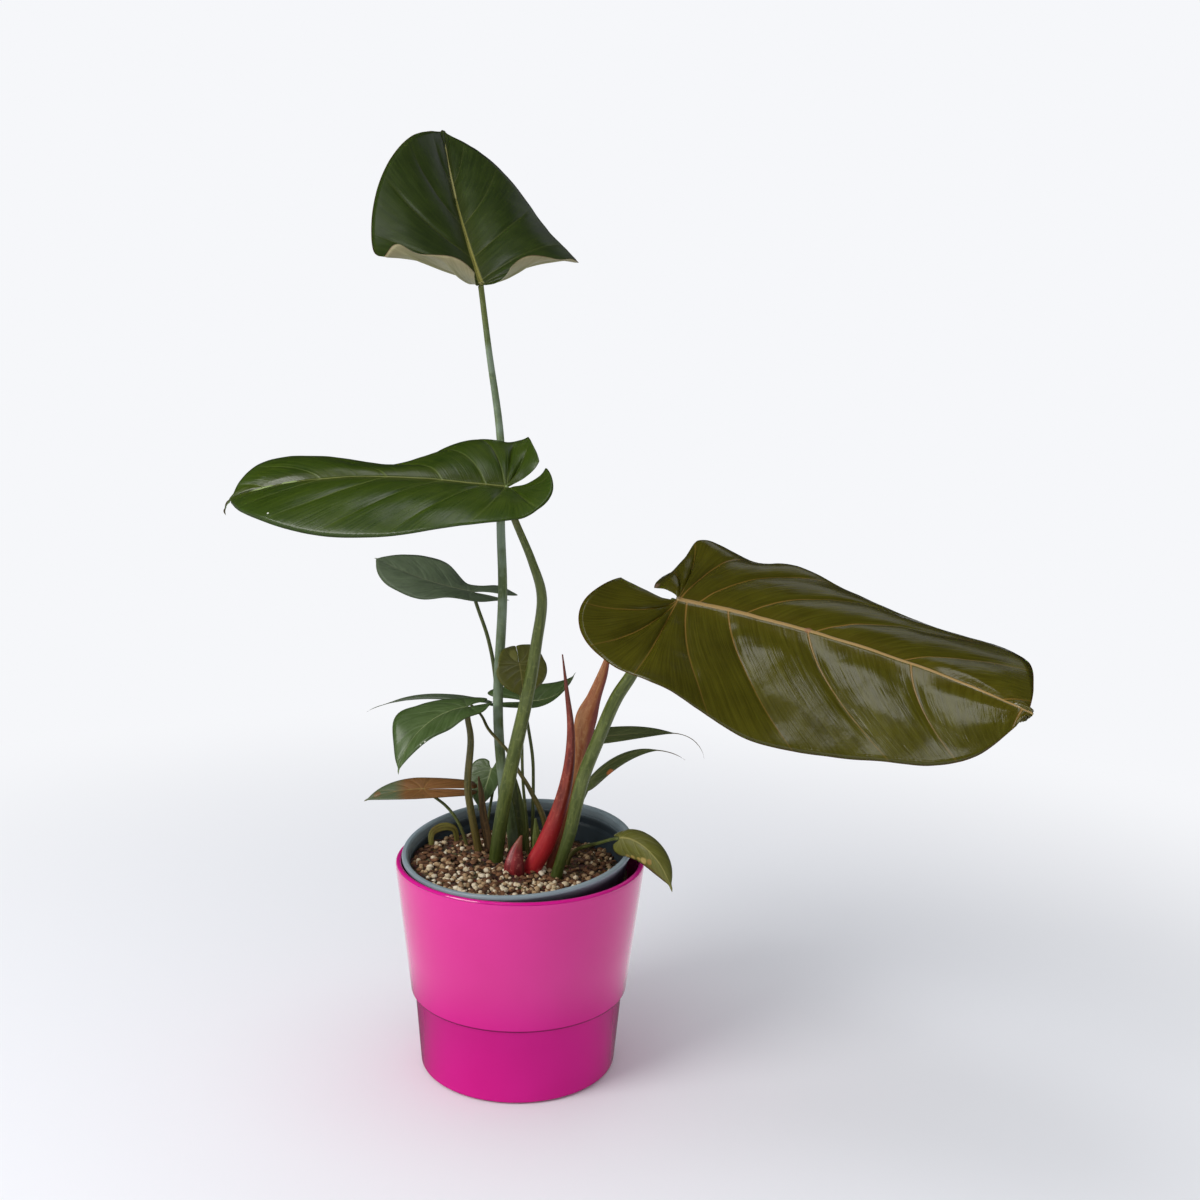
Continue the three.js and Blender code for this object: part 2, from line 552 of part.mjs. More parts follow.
// Potting mix: fills the nursery pot, mounded top, a socket around every stalk
const mixProfile = [
  [0, nurseryWall + seamGap], [nurseryFootRadius - 4, nurseryWall + seamGap],
  [nurseryFootRadius - nurseryWall - 1, 4], [nurseryNeckRadius - 3.6, 96],
  [nurseryNeckRadius - 1.5, 98], [nurseryNeckRadius - 0.9, 107], [0, 107],
];
const mound = turned([[0, 0], [95, 0], [95, mixHeight - 3], [60, mixHeight - 1.5], [25, mixHeight],
  [0, mixHeight + 0.5]], 40).rotateY(mixTilt);
let mix = toSolid(leaned(turned(mixProfile, 48))).intersect(toSolid(mound));
for (const root of roots) mix = mix.subtract(root);
addMesh('potting_mix', fromSolid(largestPiece(mix)), 0x4a3426, 0.95);

export default group;
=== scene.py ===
import bmesh
import bpy
import math
import random
from mathutils import Matrix, Vector, noise


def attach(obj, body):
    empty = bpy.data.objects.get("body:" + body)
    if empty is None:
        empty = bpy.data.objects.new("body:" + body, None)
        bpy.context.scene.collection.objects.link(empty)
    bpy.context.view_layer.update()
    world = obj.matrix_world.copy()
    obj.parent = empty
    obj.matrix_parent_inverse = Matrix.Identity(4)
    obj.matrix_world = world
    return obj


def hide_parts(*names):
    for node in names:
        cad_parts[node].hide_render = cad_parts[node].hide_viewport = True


# Potted heart-leaved philodendron: plant, mix and nursery pot leaning in a glazed cover pot.
# Shapes are worked out in millimetres and written to the meshes in metres.
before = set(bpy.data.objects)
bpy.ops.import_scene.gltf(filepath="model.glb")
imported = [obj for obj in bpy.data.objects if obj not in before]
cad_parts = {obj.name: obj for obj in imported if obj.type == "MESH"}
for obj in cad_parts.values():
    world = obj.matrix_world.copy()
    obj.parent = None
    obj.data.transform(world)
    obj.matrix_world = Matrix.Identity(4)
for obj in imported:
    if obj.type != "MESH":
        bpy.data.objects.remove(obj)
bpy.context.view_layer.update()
mm = 0.001
weld = 0.001  # mm between points that are one
print("frame loaded, nodes:", len(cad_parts), flush=True)


# Shared helpers

def clamp(value, low=0.0, high=1.0):
    return min(max(value, low), high)


def smoothStep(value):
    t = clamp(value)
    return t * t * (3 - 2 * t)


# Smooth curve through a short list of numbers or vectors, read at a fractional position
def along(values, at):
    last = len(values) - 1
    place = clamp(at, 0, last - 1e-9)
    i = int(place)
    t = place - i
    a, b, c, d = [values[int(clamp(k, 0, last))] for k in (i - 1, i, i + 1, i + 2)]
    square = (2 * a - 5 * b + 4 * c - d) * (t * t)
    return (2 * b + (c - a) * t + square + (3 * b - a - 3 * c + d) * t ** 3) * 0.5


def straight(stops, at):
    if at <= stops[0][0]:
        return stops[0][1]
    for (a, va), (b, vb) in zip(stops, stops[1:]):
        if at <= b:
            return va + (vb - va) * (at - a) / (b - a)
    return stops[-1][1]


# Scale of a noise whose features are this many millimetres across
def perSize(size):
    return 1 / (size * mm)


def linear(hexColour):
    parts = [int(hexColour[i:i + 2], 16) / 255 for i in (0, 2, 4)]
    return [p / 12.92 if p <= 0.04045 else ((p + 0.055) / 1.055) ** 2.4 for p in parts] + [1.0]


# Sets or links a node's inputs: a value can be plain, a socket, or a node, which gives its first
# live output
def feed(tree, node, inputs):
    for socket, value in inputs.items():
        if isinstance(value, bpy.types.Node):
            value = next(output for output in value.outputs if output.enabled)
        if isinstance(value, bpy.types.NodeSocket):
            tree.links.new(value, node.inputs[socket])
        else:
            node.inputs[socket].default_value = value


def addNode(tree, kind, inputs=None, **settings):
    made = tree.nodes.new("ShaderNode" + kind)
    for name, value in settings.items():
        setattr(made, name, value)
    feed(tree, made, inputs or {})
    return made


softRange = {"interpolation_type": "SMOOTHSTEP"}


# Colours laid over a ground colour: each layer has its pattern, its strength and its colour
def layOver(tree, ground, layers):
    colour = linear(ground)
    for pattern, strength, tint in layers:
        amount = addNode(tree, "Math", {0: pattern, 1: strength}, operation="MULTIPLY")
        colour = addNode(tree, "Mix", {0: amount, 6: colour, 7: linear(tint)}, data_type="RGBA")
    return colour


# Gives the shader its colour and its relief, whose height is in mm
def dress(tree, shader, colour, relief, height, strength=1.0):
    bump = addNode(tree, "Bump", {"Strength": strength, "Distance": height * mm, "Height": relief})
    feed(tree, shader, {"Base Color": colour, "Normal": bump})
    return bump


def splitMap(tree, uvMap):
    return addNode(tree, "SeparateXYZ", {0: addNode(tree, "UVMap", uv_map=uvMap)}).outputs[:2]


def newMaterial(name, colour, **values):
    material = bpy.data.materials.new(name)
    material.use_nodes = True
    material.diffuse_color = linear(colour)
    shader = material.node_tree.nodes["Principled BSDF"]
    shader.inputs["Base Color"].default_value = linear(colour)
    for socket, value in values.items():
        shader.inputs[socket.replace("_", " ")].default_value = value
    return material, material.node_tree, shader


def addToScene(name, data):
    made = bpy.data.objects.new(name, data)
    bpy.context.scene.collection.objects.link(made)
    return made


def asMesh(name, bm):
    mesh = bpy.data.meshes.new(name)
    bm.to_mesh(mesh)
    bm.free()
    return mesh


def finishPiece(name, bm, materials, nodes):
    mesh = asMesh(name, bm)
    piece = addToScene(name, mesh)
    for material in materials:
        mesh.materials.append(material)
    mesh.polygons.foreach_set("use_smooth", [True] * len(mesh.polygons))
    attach(piece, "root")
    if nodes:
        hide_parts(*nodes)
    return piece


def scaleToMetres(bm):
    bmesh.ops.scale(bm, vec=(mm, mm, mm), verts=bm.verts)


# Leaf blades
# base: where the stalk meets the blade. heading, rise: where the midrib sets off. droop, bow: how far
# and how early it bends down. turn, roll, twist: sideways bend and lean. fold, curl, lobeLift, lift:
# left and right halves. lobe, full, notch: outline and how open its back notch is. tip, tipDroop:
# drip tip. lobeShare, blunt: how long each lobe is and how square the end is, left and right. hills:
# local rises and dents, left and right, each (x, y, reach, height). veins: the places along the
# margin where side veins end, left and right.
plainLeaf = dict(bow=1.3, twist=0, full=0, lobeLift=(0, 0), notch=1, tipDroop=30, lobeShare=(1, 1),
                 blunt=(0, 0), hills=((), ()), veins=((3.4, 5.4, 7.4, 9, 10.6, 12),) * 2)
leaves = {
    "top": dict(
        base=(-31.5, 30, 499.5), heading=110, rise=37, droop=2, turn=-9, roll=-1, twist=24,
        length=190, half=66, lobe=0.26, full=-0.1, fold=(26, 39), curl=(-28, -54),
        lobeLift=(95, 110), tip=8, tipDroop=110,
        lift=((8, 17, -10, -10, -7, 2), (0, 8, -1, -9, -8, -4)),
        veins=((3.4, 5.2, 6.9, 8.5, 9.9, 11.2, 12.3),) * 2),
    "left": dict(
        base=(-9, -46, 380), heading=190, rise=6, droop=28, bow=1.8, turn=-27, roll=-15, twist=-15,
        length=167, half=63, lobe=0.21, full=0.53, fold=(18, 32), curl=(-49, -76),
        lobeLift=(90, 88), tip=12, tipDroop=90, notch=0.6,
        lift=((-3, 9, 8, -3, -9, -5), (8, 13, 12, -12, -23, -14)),
        hills=((), ((0.42, 0.55, 32, -9),)),
        veins=((3.2, 4.8, 6.4, 7.8, 9.1, 10.3, 11.4, 12.3),) * 2),
    "right": dict(
        base=(94, -44, 316), heading=-20, rise=-7, droop=6, bow=1.4, turn=-25, roll=26, twist=8,
        length=213, half=84, lobe=0.22, full=0.72, fold=(-5, -11), curl=(-35, 10),
        lobeLift=(-9, 45), tip=2, tipDroop=20, notch=0.5, lobeShare=(0.5, 1), blunt=(0, 0.2),
        lift=((-9, 19, 15, 0, -15, -11), (3, 13, 15, -7, -8, -5)),
        hills=(((-0.05, 0.85, 16, 7), (0.1, 1, 14, -5), (0.22, 1, 20, 5)), ((-0.15, 0.16, 26, 5),)),
        quilt=2.2,
        veins=((3.3, 4.8, 6.3, 7.6, 8.9, 10.2, 11.4), (3.2, 4.5, 5.7, 7.1, 8.5, 10.1, 11.5))),
    "rear_left": dict(
        base=(-38, 60, 300), heading=169, rise=8, droop=-17, turn=-3, roll=-5,
        length=71, half=24.5, lobe=0.4, full=1, fold=(11, 16), curl=(-34, -16), tip=2,
        lift=((7, 3, 3, -4, -6, -6), (-6, -2, -7, 5, 7, 4))),
    "round": dict(
        base=(-3, 3.5, 264.5), heading=-47, rise=-72, droop=3, turn=-24, roll=-1,
        length=21, half=20, lobe=0.53, fold=(10, 11), curl=(-10, -8), tip=2, tipDroop=5, notch=0.03),
    "rear_middle": dict(
        base=(-0.7, 36, 231.7), heading=3, rise=0, droop=-70, turn=-19, roll=30,
        length=40, half=16, lobe=0.62, fold=(7, 25), curl=(-11, 5), tip=3),
    "low_left": dict(
        base=(-36.5, 12, 233), heading=198, rise=-5, droop=64, bow=1.1, turn=34, roll=4,
        length=62.5, half=22.5, lobe=0.25, fold=(14, 20), curl=(-32, -13), tip=4,
        lift=((7, 0, -1, -4, -2, -1), (-4, -3, -2, 2, 11, 0))),
    "far_left": dict(
        base=(-39, 47, 228), heading=184, rise=8, droop=22, turn=4, roll=7,
        length=54, half=13, lobe=0.3, fold=(22, 15), curl=(-23, -11), tip=15, tipDroop=15),
    "bronze": dict(
        base=(-67, 34, 170.5), heading=186, rise=-1, droop=24, turn=-4, roll=-23,
        length=39, half=10.5, lobe=0.88, fold=(12, 17), curl=(-17, -17), lobeLift=(-6, -2),
        tip=2, tipDroop=0, notch=0.05),
    "inner": dict(
        base=(-24, 60, 178), heading=240, rise=-62, droop=-16, turn=8, roll=5,
        length=28, half=15, lobe=0.2, fold=(22, 19), curl=(1, -3), tip=3),
    "right_upper": dict(
        base=(48, 36, 208), heading=2, rise=9, droop=11, turn=-1, roll=2,
        length=51.5, half=13, lobe=0.2, fold=(10, 11), curl=(2, -25), tip=29, tipDroop=79),
    "right_lower": dict(
        base=(44.5, 16, 185), heading=1, rise=48, droop=52, turn=1, roll=7,
        length=50, half=9, lobe=0.15, fold=(2, 3), curl=(-14, -36), tip=19, tipDroop=32),
    "rim": dict(
        base=(63, -30, 162.5), heading=-35, rise=25, droop=90, bow=0.64, turn=0, roll=48,
        length=48, half=13.5, lobe=0.15, fold=(-11, -24), curl=(-60, -50), tip=4, tipDroop=10),
}
# Rows run along the margin and columns out from the midrib. In mm: how far a groove, a raised vein, a
# clear panel and the thin margin reach, how high a panel stands and how deep its groove is. quiltHalf
# and rippleHalf: the half width of a blade on which a panel or a ripple has its full height. ripples:
# scale per mm and height of each. The fades and tapers are shares of the blade.
bladeBuild = {
    "midribSteps": 60, "firstRow": 2, "lastRow": 15, "ribCrowding": 0.3, "veinBow": 0.22,
    "veinRise": 0.58, "tipHalfWidth": 0.9, "hillFreeOfRib": 22, "liftPower": 1.6, "quilt": 1.3,
    "quiltHalf": 70, "quiltPower": 0.7, "groove": 0.45, "grooveReach": 1.3, "veinReach": 0.9,
    "panelReach": 9, "edgeReach": 1.6, "notchFade": 1.5, "fadeFromRib": 3.3, "fadeToEdge": 2.6,
    "ribTaper": 0.75, "ribSink": 0.6, "ribEnd": 1.02, "ribEndFade": 6,
    "ripples": ((0.045, 0.7), (0.13, 0.25)), "rippleHalf": 84,
    "mergeUpper": 0.02, "mergeDegenerate": 0.005, "mergeMargin": 0.004,
}
largeBlade = dict(rows=190, columns=40, halfThickness=0.34, grooveShare=1.4, ribWidth=2.6, ribHeight=1.5,
                  ribDome=0.35, veinHeight=0.35)
smallBlade = dict(rows=70, columns=16, halfThickness=0.26, grooveShare=0.4, ribWidth=0.9, ribHeight=0.35,
                  ribDome=0.1, veinHeight=0)
liftStations = (-1, -0.45, 0.12, 0.38, 0.62, 0.84, 1)  # along the midrib, or back along the lobe


def lobeLength(leaf, half):
    return leaf["lobe"] * leaf["lobeShare"][half]


# The margin's places from the notch behind the stalk round the lobe to the drip tip: how far along the
# midrib, and how far out, as shares of the blade's length and half width
def outlineX(leaf, half, tail):
    lobe = lobeLength(leaf, half)
    notchEnd = lobe * (0.2 * min(1, 2 * leaf["notch"]) - 1)
    return [0, -0.42 * lobe, notchEnd, -lobe, -0.85 * lobe, -0.4 * lobe, 0.06, 0.24, 0.42, 0.6,
            0.76, 0.89, 0.965, 1, 1 + tail / 2, 1 + tail]


def outlineY(leaf, half):
    full, notch, blunt = leaf["full"], leaf["notch"], leaf["blunt"][half]
    tipWidth = bladeBuild["tipHalfWidth"] / leaf["half"]
    return [0, 0.07 * notch, 0.2 * notch, 0.42, 0.68, 0.89, 1, 0.985, 0.9 + 0.05 * full,
            0.745 + 0.14 * full, 0.53 + 0.26 * full, 0.28 + 0.3 * full + blunt / 2,
            0.11 + 0.15 * full + blunt, max(0.035, tipWidth) + blunt / 2, max(0.02, 0.7 * tipWidth), 0]


# Where on the midrib the side vein that ends at each margin place sets off
def veinStart(tail):
    return [0, 0, 0, 0, 0, 0, 0, 0.02, 0.09, 0.21, 0.36, 0.56, 0.79, 1, 1 + tail / 2, 1 + tail]


def midribAngles(leaf, s):
    x = clamp(s)
    tail = leaf["tip"] / leaf["length"]
    pastTip = clamp((s - 1) / tail)
    rise = leaf["rise"] - leaf["droop"] * x ** leaf["bow"] - leaf["tipDroop"] * pastTip
    heading = leaf["heading"] + leaf["turn"] * x
    roll = leaf["roll"] + leaf["twist"] * x
    return math.radians(rise), math.radians(heading), math.radians(roll)


def forwardWay(rise, heading):
    return Vector((math.cos(rise) * math.cos(heading), math.cos(rise) * math.sin(heading),
                   math.sin(rise)))


def midribPoints(leaf):
    steps = bladeBuild["midribSteps"]
    step = (1 + leaf["tip"] / leaf["length"]) / steps
    points = [Vector(leaf["base"])]
    for i in range(steps):
        rise, heading, _ = midribAngles(leaf, (i + 0.5) * step)
        points.append(points[i] + forwardWay(rise, heading) * (step * leaf["length"]))
    return points, step


# A point of the blade from its place in the outline: carried along the midrib, bent back on the lobe,
# folded and curled across, then lifted
def bladePoint(leaf, rib, x, y, side):
    points, step = rib
    half = 0 if side > 0 else 1
    s = max(x, 0)
    k = min(int(s / step), bladeBuild["midribSteps"] - 1)
    point = points[k].lerp(points[k + 1], s / step - k)
    rise, heading, roll = midribAngles(leaf, s)
    forward = forwardWay(rise, heading)
    level = Vector((-math.sin(heading), math.cos(heading), 0))
    upright = forward.cross(level)
    across = level * math.cos(roll) + upright * math.sin(roll)
    up = upright * math.cos(roll) - level * math.sin(roll)
    behind = -min(x, 0) * leaf["length"]
    lobe = lobeLength(leaf, half)
    bend = math.radians(leaf["lobeLift"][half]) / (lobe * leaf["length"])
    angle = bend * behind
    back = behind if abs(bend) < 1e-6 else math.sin(angle) / bend
    climb = 0 if abs(bend) < 1e-6 else (1 - math.cos(angle)) / bend
    point = point - forward * back + up * climb
    normal = up * math.cos(angle) + forward * math.sin(angle)
    fold = math.radians(leaf["fold"][half])
    curl = math.radians(leaf["curl"][half]) / leaf["half"]
    w = y * leaf["half"]
    out, lift = w * math.cos(fold), w * math.sin(fold)
    if abs(curl) > 1e-6:
        out = (math.sin(fold + curl * w) - math.sin(fold)) / curl
        lift = (math.cos(fold) - math.cos(fold + curl * w)) / curl
    if "lift" in leaf:
        stations = [place * lobe if place < 0 else place for place in liftStations]
        at = max(i for i in range(6) if i == 0 or x > stations[i])
        part = (x - stations[at]) / (stations[at + 1] - stations[at])
        edgeLift = along(leaf["lift"][half] + (0,), at + part)
        lift += edgeLift * clamp(y, 0, 1.2) ** bladeBuild["liftPower"]
    fromRib = math.hypot(min(x, 0) * leaf["length"], w)
    free = smoothStep(fromRib / bladeBuild["hillFreeOfRib"])
    for hillX, hillY, reach, height in leaf["hills"][half]:
        away = math.hypot((x - hillX) * leaf["length"], (y - hillY) * leaf["half"])
        lift += height * math.exp(-(away / reach) ** 2) * free
    return point + across * (side * out) + normal * lift


# Blade surface points: one row for each margin place, each row running from midrib to margin
def bladeLattice(leaf, side, rows, columns):
    b = bladeBuild
    rib = midribPoints(leaf)
    tail = leaf["tip"] / leaf["length"]
    half = 0 if side > 0 else 1
    xs, ys = outlineX(leaf, half, tail), outlineY(leaf, half)
    starts = veinStart(tail)
    lattice = []
    for j in range(rows + 1):
        row = b["firstRow"] + (b["lastRow"] - b["firstRow"]) * j / rows
        edgeX, edgeY, a = along(xs, row), max(along(ys, row), 0), along(starts, row)
        middleX = a + b["veinBow"] * (edgeX - a)
        points = []
        for i in range(columns + 1):
            t = i / columns
            out = t * (b["ribCrowding"] + (1 - b["ribCrowding"]) * t)  # columns crowd towards the midrib
            x = (1 - out) ** 2 * a + 2 * out * (1 - out) * middleX + out * out * edgeX
            y = 2 * out * (1 - out) * b["veinRise"] * edgeY + out * out * edgeY
            points.append((bladePoint(leaf, rib, x, y, side), x, out))
        lattice.append((row, points))
    return lattice


# Counts the side veins along the margin, so whole numbers lie on a vein
def veinNumber(veins, row):
    stops = [(r, i) for i, r in enumerate(veins)]
    if row < veins[0]:
        return (row - veins[0]) / (veins[1] - veins[0])
    if row > veins[-1]:
        return len(veins) - 1 + (row - veins[-1]) / (veins[-1] - veins[-2])
    return straight(stops, row)


def makeBlade(name, leaf, materials):
    b = bladeBuild
    kind = largeBlade if leaf["length"] > 100 else smallBlade
    rows, columns = kind["rows"], kind["columns"]
    quilt = leaf.get("quilt", b["quilt"] * leaf["half"] / b["quiltHalf"])
    bm = bmesh.new()
    height, thickness, ridge = [bm.verts.layers.float.new(key)
                                for key in ("height", "thickness", "ridge")]
    veinMap, reachMap, gapMap = [bm.loops.layers.uv.new(key) for key in ("vein", "reach", "gap")]
    for side in (1, -1):
        veins = leaf["veins"][0 if side > 0 else 1]
        grid = bmesh.ops.create_grid(bm, x_segments=columns, y_segments=rows, size=0.5)["verts"]
        lattice = bladeLattice(leaf, side, rows, columns)
        facts = {}
        for v in grid:
            i, j = round((v.co.x + 0.5) * columns), round((0.5 - v.co.y) * rows)
            row, points = lattice[j]
            point, x, out = points[i]
            otherRow, others = lattice[j + 1 if j < rows else j - 1]
            number = veinNumber(veins, row)
            veinStep = abs(veinNumber(veins, otherRow) - number)
            gap = (others[i][0] - point).length / max(veinStep, 0.001)
            reach = (point - points[0][0]).length
            toEdge = (points[-1][0] - point).length
            fromVein = abs(number - round(number)) * gap
            hump = math.sin(math.pi * (number - math.floor(number))) ** b["quiltPower"]
            fade = smoothStep(out * b["fadeFromRib"]) * smoothStep((1 - out) * b["fadeToEdge"])
            fade *= smoothStep(gap / b["panelReach"])
            groove = b["groove"] * math.exp(-(fromVein / b["grooveReach"]) ** 2) * fade
            ribWide = kind["ribWidth"] * (1 - b["ribTaper"] * clamp(x))
            dome = max(1 - (reach / ribWide) ** 2, 0) * clamp((b["ribEnd"] - x) * b["ribEndFade"])
            veinDome = math.exp(-(fromVein / b["veinReach"]) ** 2) * kind["veinHeight"] * (1 - out) * fade
            v[height] = quilt * hump * fade - groove * kind["grooveShare"] + kind["ribDome"] * dome
            v[thickness] = (kind["halfThickness"] * smoothStep(toEdge / b["edgeReach"])
                            * smoothStep((row - b["firstRow"]) * b["notchFade"]))
            v[ridge] = kind["ribHeight"] * dome * (1 - b["ribSink"] * clamp(x)) + veinDome
            facts[v] = ((number, side * out), (reach, toEdge), (gap, x))
            v.co = point
        faces = list({f for v in grid for f in v.link_faces})
        for loop in (loop for f in faces for loop in f.loops):
            loop[veinMap].uv, loop[reachMap].uv, loop[gapMap].uv = facts[loop.vert]
        if side < 0:
            bmesh.ops.reverse_faces(bm, faces=faces)
    bmesh.ops.remove_doubles(bm, verts=bm.verts, dist=b["mergeUpper"])
    bmesh.ops.dissolve_degenerate(bm, edges=bm.edges, dist=b["mergeDegenerate"])
    bm.normal_update()
    for v in bm.verts:
        ripple = sum(noise.noise(v.co * scale) * share for scale, share in b["ripples"])
        v.co += v.normal * (v[height] + ripple * leaf["half"] / b["rippleHalf"])
    bm.normal_update()
    upper = bm.verts[:] + bm.edges[:] + bm.faces[:]
    under = bmesh.ops.duplicate(bm, geom=upper)["geom"]
    lowerFaces = [g for g in under if isinstance(g, bmesh.types.BMFace)]
    for v in [g for g in upper if isinstance(g, bmesh.types.BMVert)]:
        v.co += v.normal * v[thickness]
    for v in [g for g in under if isinstance(g, bmesh.types.BMVert)]:
        v.co -= v.normal * (v[thickness] + v[ridge] * smoothStep(v[thickness] / kind["halfThickness"]))
    for f in lowerFaces:
        f.material_index = 1
    bmesh.ops.reverse_faces(bm, faces=lowerFaces)
    bmesh.ops.remove_doubles(bm, verts=bm.verts, dist=b["mergeMargin"])
    scaleToMetres(bm)
    return finishPiece("leaf_" + name, bm, materials, ["blade_" + name])


# Philodendron leaf: a waxy skin over green tissue. The wax gives a soft broken gloss, the fine
# parallel veins streak it, and the side veins, midrib and thin margin are paler or redder.
# Sizes and heights of its patterns are in mm; the fine veins are really 0.5 mm apart, drawn coarser.
leafPattern = {"cloud": 26, "pucker": 7, "speck": 1.1, "streakLength": 25, "halfBlade": 70,
               "puckerHeight": 0.12, "streakHeight": 0.16, "speckHeight": 0.02, "veinDepth": 0.12,
               "ribTaper": 0.75, "rimFade": 14, "rimShare": 0.35, "glowFrom": 2, "glowTo": 16,
               "glowShare": 0.25, "cloudShare": 0.4, "toneFrom": 0.36, "toneTo": 0.66, "veinCore": 0.25,
               "veinFade": 0.8, "ribCore": 0.6, "ribEdge": 1.1, "edgeCore": 0.4, "spotRag": 1.6,
               "spotFrom": 1.5, "spotTo": 1.9, "waxGloss": 0.08, "streakDull": 0.16, "speckDull": 0.06,
               "ribDull": 0.2}
plantTissue = dict(IOR=1.45, Subsurface_Scale=0.001, Subsurface_Radius=(0.6, 1.0, 0.3))


def leafMaterial(name, look):
    p = leafPattern
    material, tree, shader = newMaterial(name, look["dark"], Roughness=look["roughness"],
                                         Subsurface_Weight=0.04, **plantTissue)
    number, sideOut = splitMap(tree, "vein")
    fromRib, toEdge = splitMap(tree, "reach")
    panelWidth, alongRib = splitMap(tree, "gap")
    place = addNode(tree, "TexCoord").outputs["Object"]
    out = addNode(tree, "Math", {0: sideOut}, operation="ABSOLUTE")
    nearest = addNode(tree, "Math", {0: number, 1: 0.5}, operation="PINGPONG")
    fromVein = addNode(tree, "Math", {0: nearest, 1: panelWidth}, operation="MULTIPLY")
    onVein = addNode(tree, "MapRange", {0: fromVein, 1: look["veinWidth"] * p["veinCore"],
                                        2: look["veinWidth"], 3: 1.0, 4: 0.0}, **softRange)
    fade = addNode(tree, "Math", {0: out, 1: -p["veinFade"], 2: 1.0}, operation="MULTIPLY_ADD")
    veinLine = addNode(tree, "Math", {0: onVein, 1: fade}, operation="MULTIPLY")
    ribWidth = addNode(tree, "Math", {0: alongRib, 1: -look["ribWidth"] * p["ribTaper"],
                                      2: look["ribWidth"]}, operation="MULTIPLY_ADD")
    ribRatio = addNode(tree, "Math", {0: fromRib, 1: ribWidth}, operation="DIVIDE")
    ribLine = addNode(tree, "MapRange", {0: ribRatio, 1: p["ribCore"], 2: p["ribEdge"], 3: 1.0, 4: 0.0},
                      **softRange)
    edgeLine = addNode(tree, "MapRange", {0: toEdge, 1: look["edgeWidth"] * p["edgeCore"],
                                          2: look["edgeWidth"], 3: 1.0, 4: 0.0})
    rimBand = addNode(tree, "MapRange", {0: toEdge, 1: 0.0, 2: p["rimFade"], 3: 1.0, 4: 0.0},
                      **softRange)
    ribBand = addNode(tree, "MapRange", {0: fromRib, 1: p["glowFrom"], 2: p["glowTo"], 3: 1.0, 4: 0.0},
                      **softRange)
    tipBand = addNode(tree, "MapRange", {0: alongRib, 1: look["tipFrom"], 2: look["tipTo"]})
    fineLines = addNode(tree, "Math", {0: number, 1: look["fineLines"]}, operation="MULTIPLY")
    outLength = addNode(tree, "Math", {0: out, 1: p["halfBlade"] / p["streakLength"]},
                        operation="MULTIPLY")
    lines = addNode(tree, "CombineXYZ", {0: fineLines, 1: outLength, 2: sideOut})
    streaks = addNode(tree, "TexNoise", {"Vector": lines, "Scale": 1.0, "Detail": 2.0,
                                         "Roughness": 0.6})
    cloud = addNode(tree, "TexNoise", {"Vector": place, "Scale": perSize(p["cloud"]), "Detail": 3.0})
    pucker = addNode(tree, "TexNoise", {"Vector": place, "Scale": perSize(p["pucker"]), "Detail": 2.0})
    speck = addNode(tree, "TexNoise", {"Vector": place, "Scale": perSize(p["speck"]), "Detail": 2.0})
    tone = addNode(tree, "Mix", {0: p["cloudShare"], 2: streaks, 3: cloud})
    toneShare = addNode(tree, "MapRange", {0: tone, 1: p["toneFrom"], 2: p["toneTo"]})
    layers = [(toneShare, 1.0, look["light"]), (rimBand, p["rimShare"], look["rim"]),
              (ribBand, p["glowShare"], look["glow"]), (tipBand, look["tipShare"], look["tip"]),
              (veinLine, look["veinShare"], look["vein"]), (ribLine, look["ribShare"], look["rib"])]
    for spot in look["spots"]:
        size = spot["size"] * mm
        away = addNode(tree, "VectorMath", {0: place, 1: [c * mm for c in spot["at"]]},
                       operation="DISTANCE")
        ragged = addNode(tree, "Math", {0: pucker, 1: size * p["spotRag"], 2: away},
                         operation="MULTIPLY_ADD")
        share = addNode(tree, "MapRange", {0: ragged, 1: size * p["spotFrom"], 2: size * p["spotTo"],
                                           3: 1.0, 4: 0.0})
        layers.append((share, spot["share"], spot["colour"]))
    layers.append((edgeLine, look["edgeShare"], look["edge"]))
    rough, relief = look["roughness"] - p["waxGloss"], 0.0
    for pattern, dull in ((streaks, p["streakDull"]), (speck, p["speckDull"]), (ribLine, p["ribDull"])):
        rough = addNode(tree, "Math", {0: pattern, 1: dull, 2: rough}, operation="MULTIPLY_ADD")
    for pattern, height in ((streaks, p["streakHeight"]), (pucker, p["puckerHeight"]),
                            (speck, p["speckHeight"]), (veinLine, -p["veinDepth"])):
        relief = addNode(tree, "Math", {0: pattern, 1: height, 2: relief}, operation="MULTIPLY_ADD")
    feed(tree, shader, {"Roughness": rough})
    dress(tree, shader, layOver(tree, look["dark"], layers), relief, 1.0, look["bump"])
    return material


